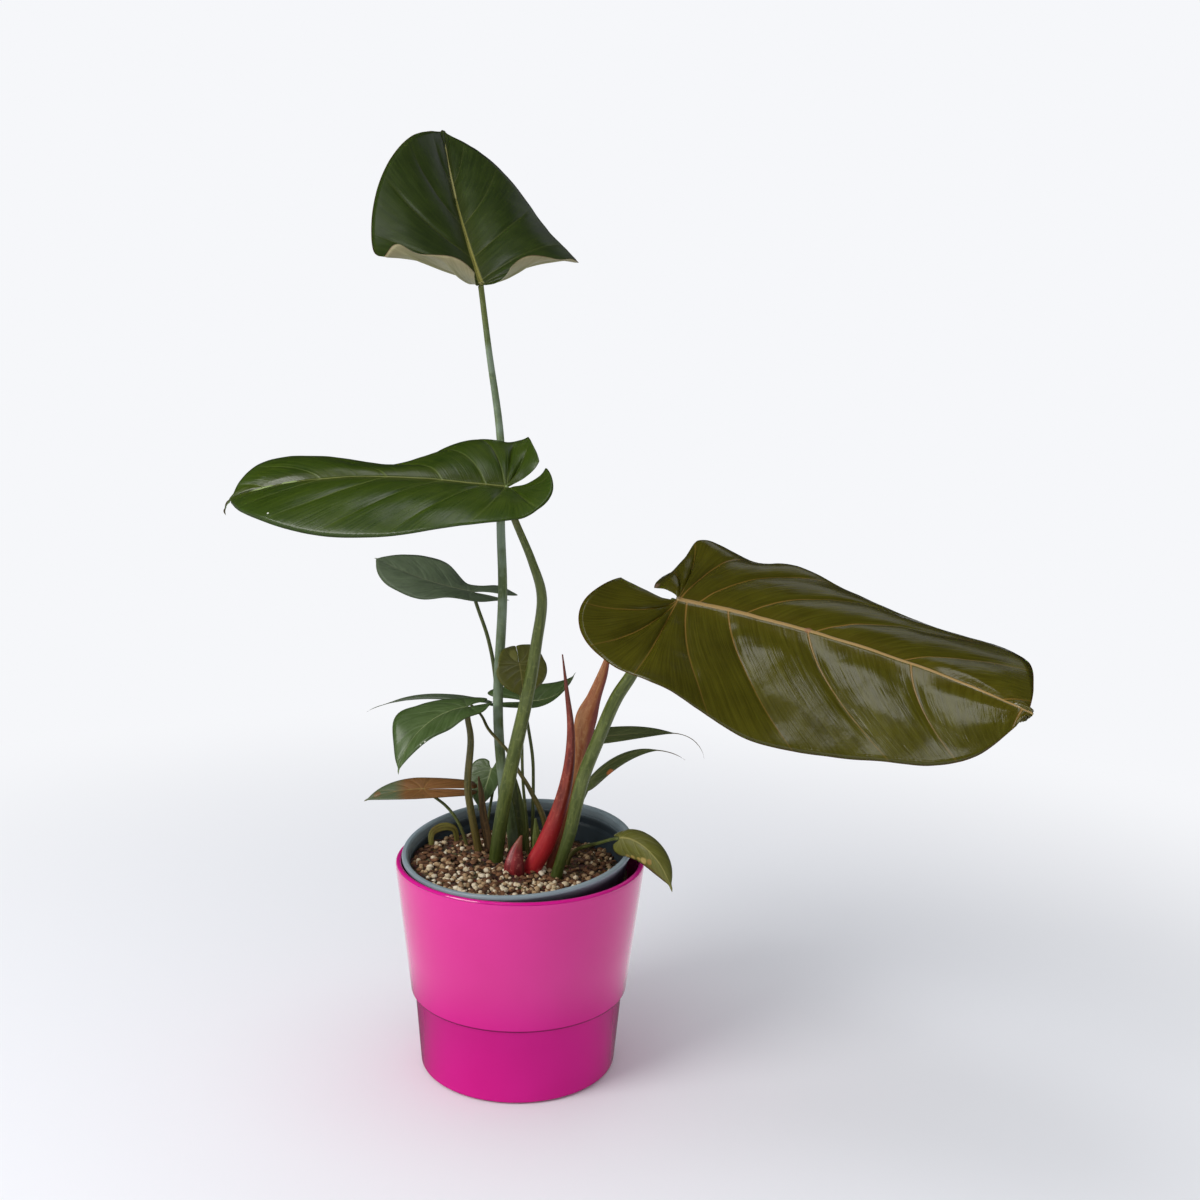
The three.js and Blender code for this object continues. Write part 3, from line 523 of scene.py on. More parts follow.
# dark, light: the tissue's two tones. Then one colour for each band: rim along the margin, glow beside
# the midrib, tip, side veins, midrib (rib) and the margin's thin edge, with widths in mm and shares.
# fineLines: fine veins from one side vein to the next. spots: blemishes, each with its place and
# size in mm.
plainLook = dict(veinWidth=0.7, ribWidth=0.7, edgeWidth=0.4, veinShare=0.5, ribShare=0.7, edgeShare=0.4,
                 fineLines=10, bump=0.4, tipFrom=1.0, tipTo=1.05, tipShare=0.0, tip="000000", spots=())
leafLooks = {
    "dark": dict(dark="1F2E02", light="2F3E06", rim="2A3A0A", glow="3A3E0A", vein="4C5220",
                 rib="7E7A34", edge="5A3020", veinWidth=1.2, ribWidth=2.4, edgeWidth=0.6,
                 veinShare=0.55, ribShare=0.9, edgeShare=0.7, fineLines=22, roughness=0.4, bump=0.5),
    "green": dict(dark="233504", light="394A07", rim="364A18", glow="46480F", vein="606C34",
                  rib="74783A", edge="3E3420", veinWidth=1.1, ribWidth=1.4, edgeWidth=0.5,
                  veinShare=0.6, ribShare=0.8, edgeShare=0.5, fineLines=26, roughness=0.28, bump=1.1,
                  tipTo=1.03, tipShare=0.95, tip="3A221C",
                  spots=(dict(at=(-141.4, -74.9, 365), size=0.8, colour="E6E6DC", share=0.9),)),
    "olive": dict(dark="383505", light="4C490A", rim="42400F", glow="524608", vein="86652E",
                  rib="9A7C48", edge="5E2A18", veinWidth=0.9, ribWidth=1.8, edgeWidth=0.6,
                  veinShare=0.8, ribShare=0.95, edgeShare=0.8, fineLines=30, roughness=0.17, bump=1.0,
                  spots=(dict(at=(166.4, -77.3, 306), size=2.4, colour="8E5E48", share=0.6),
                         dict(at=(79, -27, 321), size=4.5, colour="7A6250", share=0.85))),
    "grey": dict(dark="3C4A32", light="56644A", rim="4E5C42", glow="56644A", vein="68765A",
                 rib="74785A", edge="5C5A3C", veinWidth=1.0, ribWidth=0.9, edgeWidth=0.5,
                 fineLines=12, roughness=0.5),
    "pale": dict(dark="50501A", light="6A6A2C", rim="545622", glow="6A6A30", vein="86844C",
                 rib="8E8648", edge="5A4C24", veinShare=0.4, roughness=0.36,
                 spots=(dict(at=(-6.1, 1.5, 270), size=4.0, colour="8E8C44", share=0.6),
                        dict(at=(68.5, -33, 152), size=1.5, colour="A08848", share=0.7),
                        dict(at=(71.5, -35.5, 152.2), size=1.9, colour="A89050", share=0.75),
                        dict(at=(75, -38.5, 152.3), size=1.6, colour="A89050", share=0.75),
                        dict(at=(78, -41, 152.4), size=2.2, colour="B09A5C", share=0.8),
                        dict(at=(81.5, -44, 152.4), size=1.7, colour="8E7038", share=0.75))),
    "shaded": dict(dark="34481A", light="52663A", rim="465A2E", glow="5E7042", vein="70805A",
                   rib="8E9868", edge="4A4A2A", veinWidth=0.9, ribWidth=0.9, ribShare=0.8,
                   fineLines=12, roughness=0.34, bump=0.5,
                   spots=(dict(at=(-59.9, -16.6, 217.4), size=0.9, colour="E6E6DC", share=0.9),
                          dict(at=(-62.4, -16.4, 215.3), size=0.8, colour="E6E6DC", share=0.9))),
    "young": dict(dark="323E18", light="4E582C", rim="465024", glow="565C34", vein="666E40",
                  rib="7E7A48", edge="6A4A2C", veinWidth=0.8, ribWidth=0.8, edgeWidth=0.5,
                  veinShare=0.4, edgeShare=0.5, roughness=0.4, tipFrom=0.9, tipTo=1.12, tipShare=0.9,
                  tip="6A5034", spots=(dict(at=(56.4, 9, 193), size=2.6, colour="B05E22", share=0.85),)),
    "bronze": dict(dark="64401A", light="8C5C30", rim="664A24", glow="7A562C", vein="96703C",
                   rib="8E7A44", edge="5A4424", roughness=0.42, tipFrom=0.3, tipTo=0.5, tipShare=0.9,
                   tip="4E6042",
                   spots=(dict(at=(-97.3, 32, 166.4), size=2.6, colour="7A5228", share=0.7),
                          dict(at=(-90, 31, 165), size=2.4, colour="70502C", share=0.6))),
}
# The underside has no wax gloss: paler, matte, its veins standing proud
undersides = {
    "dark": dict(leafLooks["dark"], dark="7C7C56", light="9A9472", rim="9A8A6A", glow="8E8A60",
                 vein="9A9A6C", rib="8E8A50", roughness=0.55, bump=0.3),
    "green": dict(leafLooks["green"], dark="4A6634", light="5E7A46", rim="5A7040", glow="66804A",
                  vein="86966A", rib="8A9A60", roughness=0.55, tipShare=0.0, spots=()),
    "olive": dict(leafLooks["olive"], dark="5A5A34", light="6E6C44", rim="6A6240", glow="74683E",
                  vein="A08A5A", rib="B09A68", roughness=0.5, spots=()),
    "small": dict(leafLooks["grey"], dark="56694A", light="6C7C5C", rim="66745A", roughness=0.55),
}
# Upper look, underside and slot
bladeFinish = {
    "top": ("dark", "dark", "leaf_dark"), "left": ("green", "green", "leaf_green"),
    "right": ("olive", "olive", "leaf_olive"), "rear_left": ("grey", "small", "leaf_grey"),
    "round": ("pale", "small", "leaf_pale"), "rear_middle": ("shaded", "small", "leaf_shaded"),
    "low_left": ("shaded", "small", "leaf_shaded"), "far_left": ("grey", "small", "leaf_grey"),
    "bronze": ("bronze", "small", "leaf_bronze"), "inner": ("shaded", "small", "leaf_shaded"),
    "right_upper": ("young", "small", "leaf_young"), "right_lower": ("young", "small", "leaf_young"),
    "rim": ("pale", "small", "leaf_pale"),
}
upperMaterials = {key: leafMaterial("waxy leaf, " + key, {**plainLook, **look})
                  for key, look in leafLooks.items()}
underMaterials = {key: leafMaterial("leaf underside, " + key, {**plainLook, **look})
                  for key, look in undersides.items()}
for leafName, leaf in leaves.items():
    upperKey, underKey, leafSlot = bladeFinish[leafName]
    makeBlade(leafName, {**plainLeaf, **leaf}, [upperMaterials[upperKey], underMaterials[underKey]])
print("leaf blades made:", len(leaves), flush=True)


# Stalks and sheaths: a tube rolled from a grid, bent along a path, its section changing on the way
def bendSection(path, section, stepsPerPoint, around):
    points = [Vector(p) for p in path]
    bm = bmesh.new()
    stalkMap = bm.loops.layers.uv.new("stalk")
    last, nudge = len(path) - 1, 0.05
    steps = last * stepsPerPoint
    bmesh.ops.create_grid(bm, x_segments=around, y_segments=steps, size=0.5)
    lengths = [0.0]
    for i in range(steps):
        a, b = along(points, i / stepsPerPoint), along(points, (i + 1) / stepsPerPoint)
        lengths.append(lengths[-1] + (b - a).length)
    facts = {}
    for v in bm.verts:
        turn = v.co.x + 0.5
        at = (v.co.y + 0.5) * last
        centre = along(points, at)
        forward = along(points, min(at + nudge, last)) - along(points, max(at - nudge, 0))
        forward.normalize()
        facts[v] = (turn, lengths[round((v.co.y + 0.5) * steps)])
        v.co = section(centre, forward, at, turn)
    for f in bm.faces:
        for loop in f.loops:
            loop[stalkMap].uv = facts[loop.vert]
    bmesh.ops.remove_doubles(bm, verts=bm.verts, dist=weld)
    rims = [e for e in bm.edges if e.is_boundary]
    bmesh.ops.holes_fill(bm, edges=rims, sides=0)
    bmesh.ops.recalc_face_normals(bm, faces=bm.faces)
    return bm


# Fresh aroid stalk: smooth green skin with fine lengthwise streaks and pale flecks. Sizes in mm, the
# streaks' width on a stalk of this radius.
stalkPattern = {"radius": 3.6, "streakWidth": 1.5, "streakLength": 18, "fleck": 2.4, "bloom": 16,
                "reliefHeight": 0.15, "fleckRelief": 0.3, "lightFrom": 0.38, "lightTo": 0.64,
                "bloomFrom": 0.42, "bloomTo": 0.62, "fleckFrom": 0.56, "fleckTo": 0.68,
                "shadeAndRedEdgeFrom": -0.15, "shadeAndRedEdgeTo": -0.6, "footCore": 0.3}
plainStalk = dict(fleckShare=0.25, bump=0.6, topFrom=0, topTo=1)


def stalkMaterial(name, ownLook):
    p, look = stalkPattern, {**plainStalk, **ownLook}
    material, tree, shader = newMaterial(name, look["dark"], Roughness=look["roughness"],
                                         Subsurface_Weight=0.05, **plantTissue)
    turn, fromFoot = splitMap(tree, "stalk")
    place = addNode(tree, "TexCoord").outputs["Object"]
    around = addNode(tree, "Math", {0: turn, 1: 2 * math.pi}, operation="MULTIPLY")
    sine = addNode(tree, "Math", {0: around}, operation="SINE")
    cosine = addNode(tree, "Math", {0: around}, operation="COSINE")
    ring = addNode(tree, "CombineXYZ", {0: sine, 1: cosine})
    wide = addNode(tree, "VectorMath", {0: ring, 3: p["radius"] / p["streakWidth"]},
                   operation="SCALE")
    upwards = addNode(tree, "CombineXYZ", {2: fromFoot})
    drawn = addNode(tree, "VectorMath", {0: upwards, 3: 1 / p["streakLength"]}, operation="SCALE")
    lines = addNode(tree, "VectorMath", {0: wide, 1: drawn}, operation="ADD")
    streaks = addNode(tree, "TexNoise", {"Vector": lines, "Scale": 1.0, "Detail": 3.0,
                                         "Roughness": 0.65})
    fleck = addNode(tree, "TexNoise", {"Vector": place, "Scale": perSize(p["fleck"]), "Detail": 2.0})
    bloom = addNode(tree, "TexNoise", {"Vector": place, "Scale": perSize(p["bloom"]), "Detail": 2.0})
    lightShare = addNode(tree, "MapRange", {0: streaks, 1: p["lightFrom"], 2: p["lightTo"]})
    patterns = {
        "bloom": addNode(tree, "MapRange", {0: bloom, 1: p["bloomFrom"], 2: p["bloomTo"]}),
        "fleck": addNode(tree, "MapRange", {0: fleck, 1: p["fleckFrom"], 2: p["fleckTo"]}),
        # side: painted shade on the right, away from the key light, and on the tan sheath its dark red
        # rolled edge as well
        "side": addNode(tree, "MapRange", {0: sine, 1: p["shadeAndRedEdgeFrom"], 2: p["shadeAndRedEdgeTo"]}),
        "foot": addNode(tree, "MapRange", {0: fromFoot, 1: look["footTo"] * p["footCore"],
                                           2: look["footTo"], 3: 1.0, 4: 0.0}, **softRange),
        "top": addNode(tree, "MapRange", {0: fromFoot, 1: look["topFrom"], 2: look["topTo"]},
                       **softRange),
    }
    layers = [(pattern, look[key + "Share"], look[key]) for key, pattern in patterns.items()
              if key in look]
    relief = addNode(tree, "Math", {0: fleck, 1: p["fleckRelief"], 2: streaks}, operation="MULTIPLY_ADD")
    colour = layOver(tree, look["dark"], [(lightShare, 1.0, look["light"])] + layers)
    dress(tree, shader, colour, relief, p["reliefHeight"], look["bump"])
    return material


# path and radius in mm, from inside the mix up to the blade
stalks = {
    "top": dict(
        path=[(-4, 14, 120), (-7, 14, 151), (-14, 15, 191), (-17, 17, 238), (-15, 21, 303),
              (-17, 24, 351), (-18, 26, 404), (-26, 28, 459), (-31.5, 30, 498.5)],
        radius=(3.4, 3.6, 3.4, 3.2, 3, 2.8, 2.4, 2, 1.8), look="glaucous"),
    "left": dict(
        path=[(-18, 4, 120), (-17, 3, 128), (-14, 1, 155), (-7, -5, 196), (4, -13, 250),
              (9, -19, 283), (12, -26, 312), (6, -36, 336), (-5, -44, 364), (-9, -46, 379.5)],
        radius=(4.4, 4.6, 4.6, 4.5, 4, 3.6, 3.1, 2.5, 2.1, 2), look="green"),
    "right": dict(
        path=[(21, -16, 120), (23, -16, 129), (26, -17, 141), (32, -19, 162), (39, -21, 196),
              (48, -24, 223), (58, -28, 250), (68, -31, 268), (79, -36, 293), (92, -43, 315)],
        radius=(4, 3.8, 3.7, 4, 4.2, 4.2, 4, 3.8, 3.4, 2.8), look="green"),
    "rear_left": dict(
        path=[(-14, 29, 120), (-14, 29, 142), (-16, 34, 166), (-18, 48, 206), (-22, 56, 244),
              (-27, 59, 268), (-34, 60, 288), (-38, 60, 299.5)],
        radius=(1.7, 1.7, 1.6, 1.5, 1.4, 1.3, 1.2, 1.2), look="small"),
    "round": dict(
        path=[(4, 16, 120), (3, 15, 152), (0, 12, 185), (-1, 10, 219), (-2, 8, 246), (-3, 5, 263)],
        radius=(1.1, 1.1, 1, 1, 0.9, 0.9), look="small"),
    "rear_middle": dict(
        path=[(6, 29, 120), (6, 28, 156), (6, 29, 180), (5, 31, 197), (1, 34, 220),
              (-0.7, 36, 231.2)],
        radius=(1.2, 1.2, 1.1, 1.1, 1, 0.9), look="small"),
    "low_left": dict(
        path=[(-27, 17, 120), (-29, 18, 135), (-34, 17, 162), (-36, 15, 182), (-34, 13, 210),
              (-36, 12, 225), (-36.5, 12, 232.8)],
        radius=(2.6, 2.6, 2.5, 2.4, 2.2, 1.9, 1.7), look="brownish"),
    "far_left": dict(
        path=[(17, 10, 120), (15, 10, 156), (5, 8, 180), (-3, 6, 194), (-9.5, 6, 206),
              (-16, 7, 213), (-23, 13, 219), (-29, 28, 224), (-39, 47, 227.2)],
        radius=(2.2, 2, 1.5, 1.2, 1.1, 1, 1, 0.9, 0.9), look="brownish"),
    "bronze": dict(
        path=[(-36, 29, 120), (-38, 30, 134), (-44, 32, 149), (-53, 34, 160), (-67, 34, 169.8)],
        radius=(1.2, 1.2, 1.1, 1, 0.9), look="small"),
    "inner": dict(
        path=[(-27, 37, 120), (-26, 40, 139), (-24, 47, 154), (-22, 57, 170), (-24, 60, 177.3)],
        radius=(1.1, 1.1, 1, 0.9, 0.9), look="small"),
    "right_upper": dict(
        path=[(27, 26, 120), (29, 27, 144), (35, 30, 165), (41, 34, 188), (48, 36, 207.3)],
        radius=(1.4, 1.4, 1.3, 1.2, 1.1), look="small"),
    "right_lower": dict(
        path=[(26, 15, 120), (27, 15, 139), (32, 15, 155), (38, 15.5, 170), (44.5, 16, 184.3)],
        radius=(1.4, 1.4, 1.3, 1.2, 1.1), look="small"),
    "rim": dict(
        path=[(28, 7, 120), (31, 8, 134), (36, 6, 141), (44, -2, 147), (50, -14, 153),
              (58, -25, 159.5), (62.8, -30, 162)],
        radius=(1.5, 1.5, 1.4, 1.3, 1.1, 1, 1), look="small"),
}
# foot, top, side, bloom, fleck: colours near the mix, near the blade, on the right, in soft clouds and in
# small flecks, each with its share; footTo, topFrom and topTo are in mm from the foot. The side colour on
# the right, away from the key light, is painted shade; on the tan sheath it is also the dark red of its
# rolled edge.
stalkLooks = {
    "glaucous": dict(dark="44542C", light="627246", fleck="8E9C74", foot="32400F", footTo=70,
                     footShare=0.6, roughness=0.5, bloom="7E8E7C", bloomShare=0.75,
                     topFrom=330, topTo=370, topShare=0.6, top="626824"),
    "green": dict(dark="3E4A10", light="5E682A", fleck="868E54", foot="2A3806", footTo=75,
                  footShare=0.65, roughness=0.45, bloom="66704A", bloomShare=0.18,
                  topFrom=235, topTo=262, topShare=0.5, top="6E6034"),
    "small": dict(dark="3C481C", light="5C6432", fleck="8A8C5C", foot="5A4820", footTo=40,
                  footShare=0.5, roughness=0.45),
    "brownish": dict(dark="46481C", light="6C6230", fleck="8E8050", foot="54401C", footTo=70,
                     footShare=0.5, roughness=0.45),
}
stalkMaterials = {key: stalkMaterial("aroid stalk, " + key, look)
                  for key, look in stalkLooks.items()}
stalkBuild = {"facing": (0.3, -1, 0.1), "stepsPerPoint": 8, "around": 24, "ridge": 0.035,
              "swell": 0.02, "swellTurn": 2.3}


def makeStalk(name, stalk):
    b = stalkBuild
    facing = Vector(b["facing"])

    def roundSection(centre, forward, at, turn):
        sideways = facing.cross(forward).normalized()
        outward = sideways.cross(forward)
        angle = turn * 2 * math.pi
        wobble = 1 + b["ridge"] * math.sin(3 * angle + at) + b["swell"] * math.sin(at * b["swellTurn"])
        r = along(stalk["radius"], at) * wobble
        return centre + sideways * (r * math.sin(angle)) + outward * (r * math.cos(angle))

    bm = bendSection(stalk["path"], roundSection, b["stepsPerPoint"], b["around"])
    scaleToMetres(bm)
    look = stalk["look"]
    return finishPiece("stalk_" + name, bm, [stalkMaterials[look]], ["petiole_" + name])


for stalkName, stalk in stalks.items():
    makeStalk(stalkName, stalk)
print("stalks made:", len(stalks), flush=True)

# width, depth: half sizes across and front to back at each point of the path, in mm. face: the way its
# broad side looks. keel: how sharply the middle is ridged; below zero the section is squarer.
sheaths = {
    "cataphyll_red": dict(
        path=[(7, -11, 122), (8, -11, 134), (16, -11, 150), (25, -12, 176), (30, -14, 201),
              (31, -16, 227), (28, -18, 253), (25, -20, 276)],
        width=(4.6, 6, 6, 4.8, 3.6, 2.4, 1.3, 0.4), depth=(3.4, 4, 3.2, 2.4, 1.8, 1.3, 0.8, 0.4),
        face=(0.1, -1, 0), look="red", keel=0.35),
    "new_leaf_sheath": dict(
        path=[(19, -3, 122), (20, -3, 134), (25, -3, 151), (31, -4, 178), (37, -6, 205),
              (40, -8, 231), (45, -10, 247), (50, -12, 262), (53, -13, 274)],
        width=(3, 3.4, 3.4, 3.4, 3.8, 7, 4.6, 3.2, 1.5),
        depth=(2.4, 2.6, 2.2, 2, 1.8, 1.8, 1.8, 1.5, 1),
        face=(0.2, -1, 0.1), look="tan", keel=-0.2),
    "bract_red": dict(
        path=[(-3, -17, 122), (-3, -18, 132), (-3, -18, 139), (-2, -15, 147), (1, -11, 156)],
        width=(4.5, 6.3, 6.2, 4, 0.6), depth=(2.6, 3, 2.4, 1.6, 0.5), face=(0, -1, 0.3),
        look="bract", keel=0.25),
    "crown_sheath": dict(
        path=[(-2, 21, 122), (-2, 21, 137), (-3, 21, 151), (-5, 21, 171), (-7, 21, 188)],
        width=(5.5, 6, 5.6, 4, 0.8), depth=(1.6, 1.8, 1.6, 1.2, 0.5), face=(0.1, -1, 0),
        look="green", keel=0.2),
    "low_left_sheath": dict(
        path=[(-21, 22, 122), (-22, 22, 135), (-26, 23, 155), (-28, 24, 172), (-30, 25, 183)],
        width=(3, 3.2, 2.6, 1.8, 0.5), depth=(1.2, 1.4, 1.2, 0.9, 0.4), face=(0.2, -1, 0),
        look="brown", keel=0.2),
    "green_sheath": dict(
        path=[(12, 5, 122), (11, 4, 137), (10, 3, 149), (9, 2, 163)],
        width=(3.4, 3.8, 3, 0.6), depth=(1.2, 1.3, 1.1, 0.4), face=(0, -1, 0.2),
        look="green", keel=0.2),
    "dried_strip": dict(
        path=[(-60, 26, 124), (-61, 26, 134), (-61, 29, 141.5), (-56, 33, 144.5), (-50, 36, 144),
              (-46, 38, 139.5), (-45, 38, 124)],
        width=(1.4, 1.6, 2.2, 2.7, 2.5, 2, 1.4), depth=(0.5,) * 7, face=(0.5, -1, 0.3),
        look="dried", keel=0),
}
# Leaf sheath: fleshy, smooth and red while young, papery, brown and dull when it has dried. The side
# colour is painted shade on the right of the red sheath and the bract; on the tan sheath it is the dark
# red rolled edge and painted shade together.
sheathLooks = {
    "red": dict(dark="64160F", light="98402E", fleck="B06A54", foot="B21A2A", footTo=75,
                footShare=0.75, roughness=0.3, fleckShare=0.35, bloom="6E3620", bloomShare=0.4,
                topFrom=95, topTo=150, topShare=0.7, top="5A2A18", side="3E100C", sideShare=0.5),
    "bract": dict(dark="4A0E10", light="8A2428", fleck="B4645A", foot="7E1A22", footTo=14,
                  footShare=0.5, roughness=0.38, fleckShare=0.6, bloom="A83A40", bloomShare=0.45,
                  topFrom=24, topTo=34, topShare=0.8, top="7A4A34", side="3A100E", sideShare=0.5,
                  bump=1.0),
    "tan": dict(dark="94522E", light="BC8656", fleck="C89A6C", foot="6A1A1C", footTo=60,
                footShare=0.8, roughness=0.42, bloom="A0603E", bloomShare=0.35, side="6E1E1A",
                sideShare=0.9),
    "green": dict(dark="3A4618", light="626C32", fleck="86864E", foot="4A3A22", footTo=20,
                  footShare=0.5, roughness=0.5),
    "brown": dict(dark="44341C", light="725634", fleck="94764E", foot="3A2818", footTo=20,
                  footShare=0.5, roughness=0.65),
    "dried": dict(dark="55501A", light="86803A", fleck="96844A", foot="5A4A24", footTo=6,
                  footShare=0.4, roughness=0.6, bloom="6E5428", bloomShare=0.5),
}
sheathMaterials = {key: stalkMaterial("leaf sheath, " + key, look)
                   for key, look in sheathLooks.items()}
sheathBuild = {"stepsPerPoint": 8, "around": 28, "keelSharpness": 1.2}


def makeSheath(name, sheath):
    b = sheathBuild
    facing = Vector(sheath["face"])

    def keeledSection(centre, forward, at, turn):
        sideways = facing.cross(forward).normalized()
        outward = sideways.cross(forward)
        angle = turn * 2 * math.pi
        c, s = math.cos(angle), math.sin(angle)
        front = c * (1 - sheath["keel"] * (1 - abs(c)) * b["keelSharpness"])
        return (centre + sideways * (s * along(sheath["width"], at))
                + outward * (front * along(sheath["depth"], at)))

    bm = bendSection(sheath["path"], keeledSection, b["stepsPerPoint"], b["around"])
    scaleToMetres(bm)
    look = sheath["look"]
    return finishPiece("sheath_" + name, bm, [sheathMaterials[look]], [name])


for sheathName, sheath in sheaths.items():
    makeSheath(sheathName, sheath)
print("sheaths made:", len(sheaths), flush=True)


# Turned pieces: a profile of (radius, height) spun a full turn
def spinProfile(profile, steps):
    bm = bmesh.new()
    verts = [bm.verts.new((r, 0, z)) for r, z in profile]
    edges = [bm.edges.new(pair) for pair in zip(verts, verts[1:])]
    bmesh.ops.spin(bm, geom=verts + edges, cent=(0, 0, 0), axis=(0, 0, 1), angle=2 * math.pi,
                   steps=steps, use_merge=True)
    bmesh.ops.remove_doubles(bm, verts=bm.verts, dist=weld)
    bmesh.ops.recalc_face_normals(bm, faces=bm.faces)
    return bm


# Points of a corner rounded by short straight steps, for a profile
def softCorner(before, corner, after, radius, steps=5):
    here = Vector(corner)
    a = here + (Vector(before) - here).normalized() * radius
    b = here + (Vector(after) - here).normalized() * radius
    points = []
    for i in range(steps + 1):
        t = i / steps
        p = a * (1 - t) ** 2 + here * 2 * t * (1 - t) + b * t * t
        points.append((p.x, p.y))
    return points


def roundedProfile(corners):
    points = [corners[0][:2]]
    for before, here, after in zip(corners, corners[1:], corners[2:]):
        radius = here[2] if len(here) > 2 else 0
        points += softCorner(before[:2], here[:2], after[:2], radius) if radius else [here[:2]]
    return points + [corners[-1][:2]]


# Radii and heights in mm; corners run from the middle of the foot up the outside, over the rim and
# down the inside, each (radius, height) with its rounding where it has one
coverPot = {"rim": 80, "innerRim": 76.2, "height": 138, "step": 51, "stepRadius": 70,
            "ledgeRadius": 67.5, "foot": 62, "floor": 5, "wall": 4, "spinSteps": 160}


# Glazed earthenware: a thick even coloured glaze, sharp reflections under a glassy skin. A thin dark band
# at the step is glaze pooled there and painted shade under the overhang.
glaze = {"deep": "CA1280", "thin": "D81E92", "shadeAndPool": "5A0A34", "shadeAndPoolHalfHeight": 0.9,
         "shadeAndPoolCore": 0.6, "shadeAndPoolRise": 0.3, "shadeAndPoolShare": 0.8, "cloud": 70, "ripple": 17,
         "rippleHeight": 0.03}


def glazeMaterial():
    p = glaze
    material, tree, shader = newMaterial("glazed ceramic, magenta", p["deep"], IOR=1.5,
                                         Roughness=0.09, Coat_Weight=0.25, Coat_Roughness=0.03)
    place = addNode(tree, "TexCoord").outputs["Object"]
    cloud = addNode(tree, "TexNoise", {"Vector": place, "Scale": perSize(p["cloud"]), "Detail": 2.0})
    height = addNode(tree, "SeparateXYZ", {0: place}).outputs[2]
    # Painted shade under the step's overhang, together with glaze pooled there: a thin dark band round
    # the pot
    lineHeight = (coverPot["step"] + p["shadeAndPoolRise"]) * mm
    fromStep = addNode(tree, "Math", {0: height, 1: lineHeight}, operation="SUBTRACT")
    fromStep = addNode(tree, "Math", {0: fromStep}, operation="ABSOLUTE")
    halfHeight = p["shadeAndPoolHalfHeight"] * mm
    shadeAndPool = addNode(tree, "MapRange", {0: fromStep, 1: halfHeight * p["shadeAndPoolCore"], 2: halfHeight,
                                        3: 1.0, 4: 0.0})
    colour = layOver(tree, p["deep"], [(cloud, 1.0, p["thin"]), (shadeAndPool, p["shadeAndPoolShare"], p["shadeAndPool"])])
    ripple = addNode(tree, "TexNoise", {"Vector": place, "Scale": perSize(p["ripple"])})
    bump = dress(tree, shader, colour, ripple, p["rippleHeight"])
    feed(tree, shader, {"Coat Normal": bump})
    return material


def makeCoverPot():
    p = coverPot
    foot, ledge, upper, wall = p["foot"], p["ledgeRadius"], p["stepRadius"], p["wall"]
    step, top, floor = p["step"], p["height"], p["floor"]
    corners = [
        (0, 0), (foot - 1, 0), (foot + 1.3, 1.6, 1.0), (ledge, step - 0.4), (ledge + 0.4, step),
        (upper - 0.5, step), (upper, step + 0.8, 0.5), (p["rim"], top - 2.6, 1.5),
        (p["rim"] - 0.4, top, 1.4), (p["innerRim"] + 0.4, top, 1.4), (p["innerRim"], top - 2.6, 1.5),
        (upper - wall, step + 3, 2), (ledge - wall, step - 2, 2), (foot - 3, floor + 3, 2),
        (foot - 7, floor, 2), (0, floor)]
    bm = spinProfile(roundedProfile(corners), p["spinSteps"])
    scaleToMetres(bm)
    return finishPiece("cover_pot", bm, [glazeMaterial()], ["cachepot"])


makeCoverPot()

nurseryPot = {"height": 110, "rim": 75.2, "neck": 71.4, "foot": 45.5, "wall": 1.5,
              "centre": (-1.9, 3, 145.2), "lean": (-0.057, -0.086, 1), "spinSteps": 144,
              "drainHoles": 6, "drainRadius": 4, "drainCircle": 28, "drainDepth": 8, "drainSteps": 24}


# Moulded polypropylene: satin grey-blue lip with faint dust, and below it painted shade where the pot
# lies in shadow inside the cover pot
nurseryFinish = {"dusty": "98A6AE", "clean": "7A8B94", "shadeBelowLip": "2E3A42", "cloud": 22, "grain": 1.4,
                 "grainHeight": 0.04, "shadeBelowLipFrom": 2.5, "shadeBelowLipTo": 9}


def nurseryMaterial():
    p = nurseryFinish
    material, tree, shader = newMaterial("moulded plastic, grey blue", p["clean"], IOR=1.49,
                                         Roughness=0.36)
    place = addNode(tree, "TexCoord").outputs["Object"]
    cloud = addNode(tree, "TexNoise", {"Vector": place, "Scale": perSize(p["cloud"]), "Detail": 4.0})
    axis = Vector(nurseryPot["lean"]).normalized()
    fromTop = addNode(tree, "VectorMath", {0: place, 1: axis}, operation="DOT_PRODUCT")
    lipHeight = axis.dot(Vector(nurseryPot["centre"])) * mm
    # Painted shade: the wall darkens below the lip, where it lies in shadow
    shadeBelowLip = addNode(tree, "MapRange", {0: fromTop, 1: lipHeight - p["shadeBelowLipTo"] * mm,
                                      2: lipHeight - p["shadeBelowLipFrom"] * mm, 3: 1.0, 4: 0.0}, **softRange)
    colour = layOver(tree, p["clean"], [(cloud, 1.0, p["dusty"]), (shadeBelowLip, 1.0, p["shadeBelowLip"])])
    grain = addNode(tree, "TexNoise", {"Vector": place, "Scale": perSize(p["grain"]), "Detail": 2.0})
    dress(tree, shader, colour, grain, p["grainHeight"])
    return material


def leanMatrix():
    p = nurseryPot
    axis = Vector(p["lean"]).normalized()
    turn = Vector((0, 0, 1)).rotation_difference(axis).to_matrix().to_4x4()
    foot = Vector(p["centre"]) - axis * p["height"]
    return Matrix.Translation(foot) @ turn


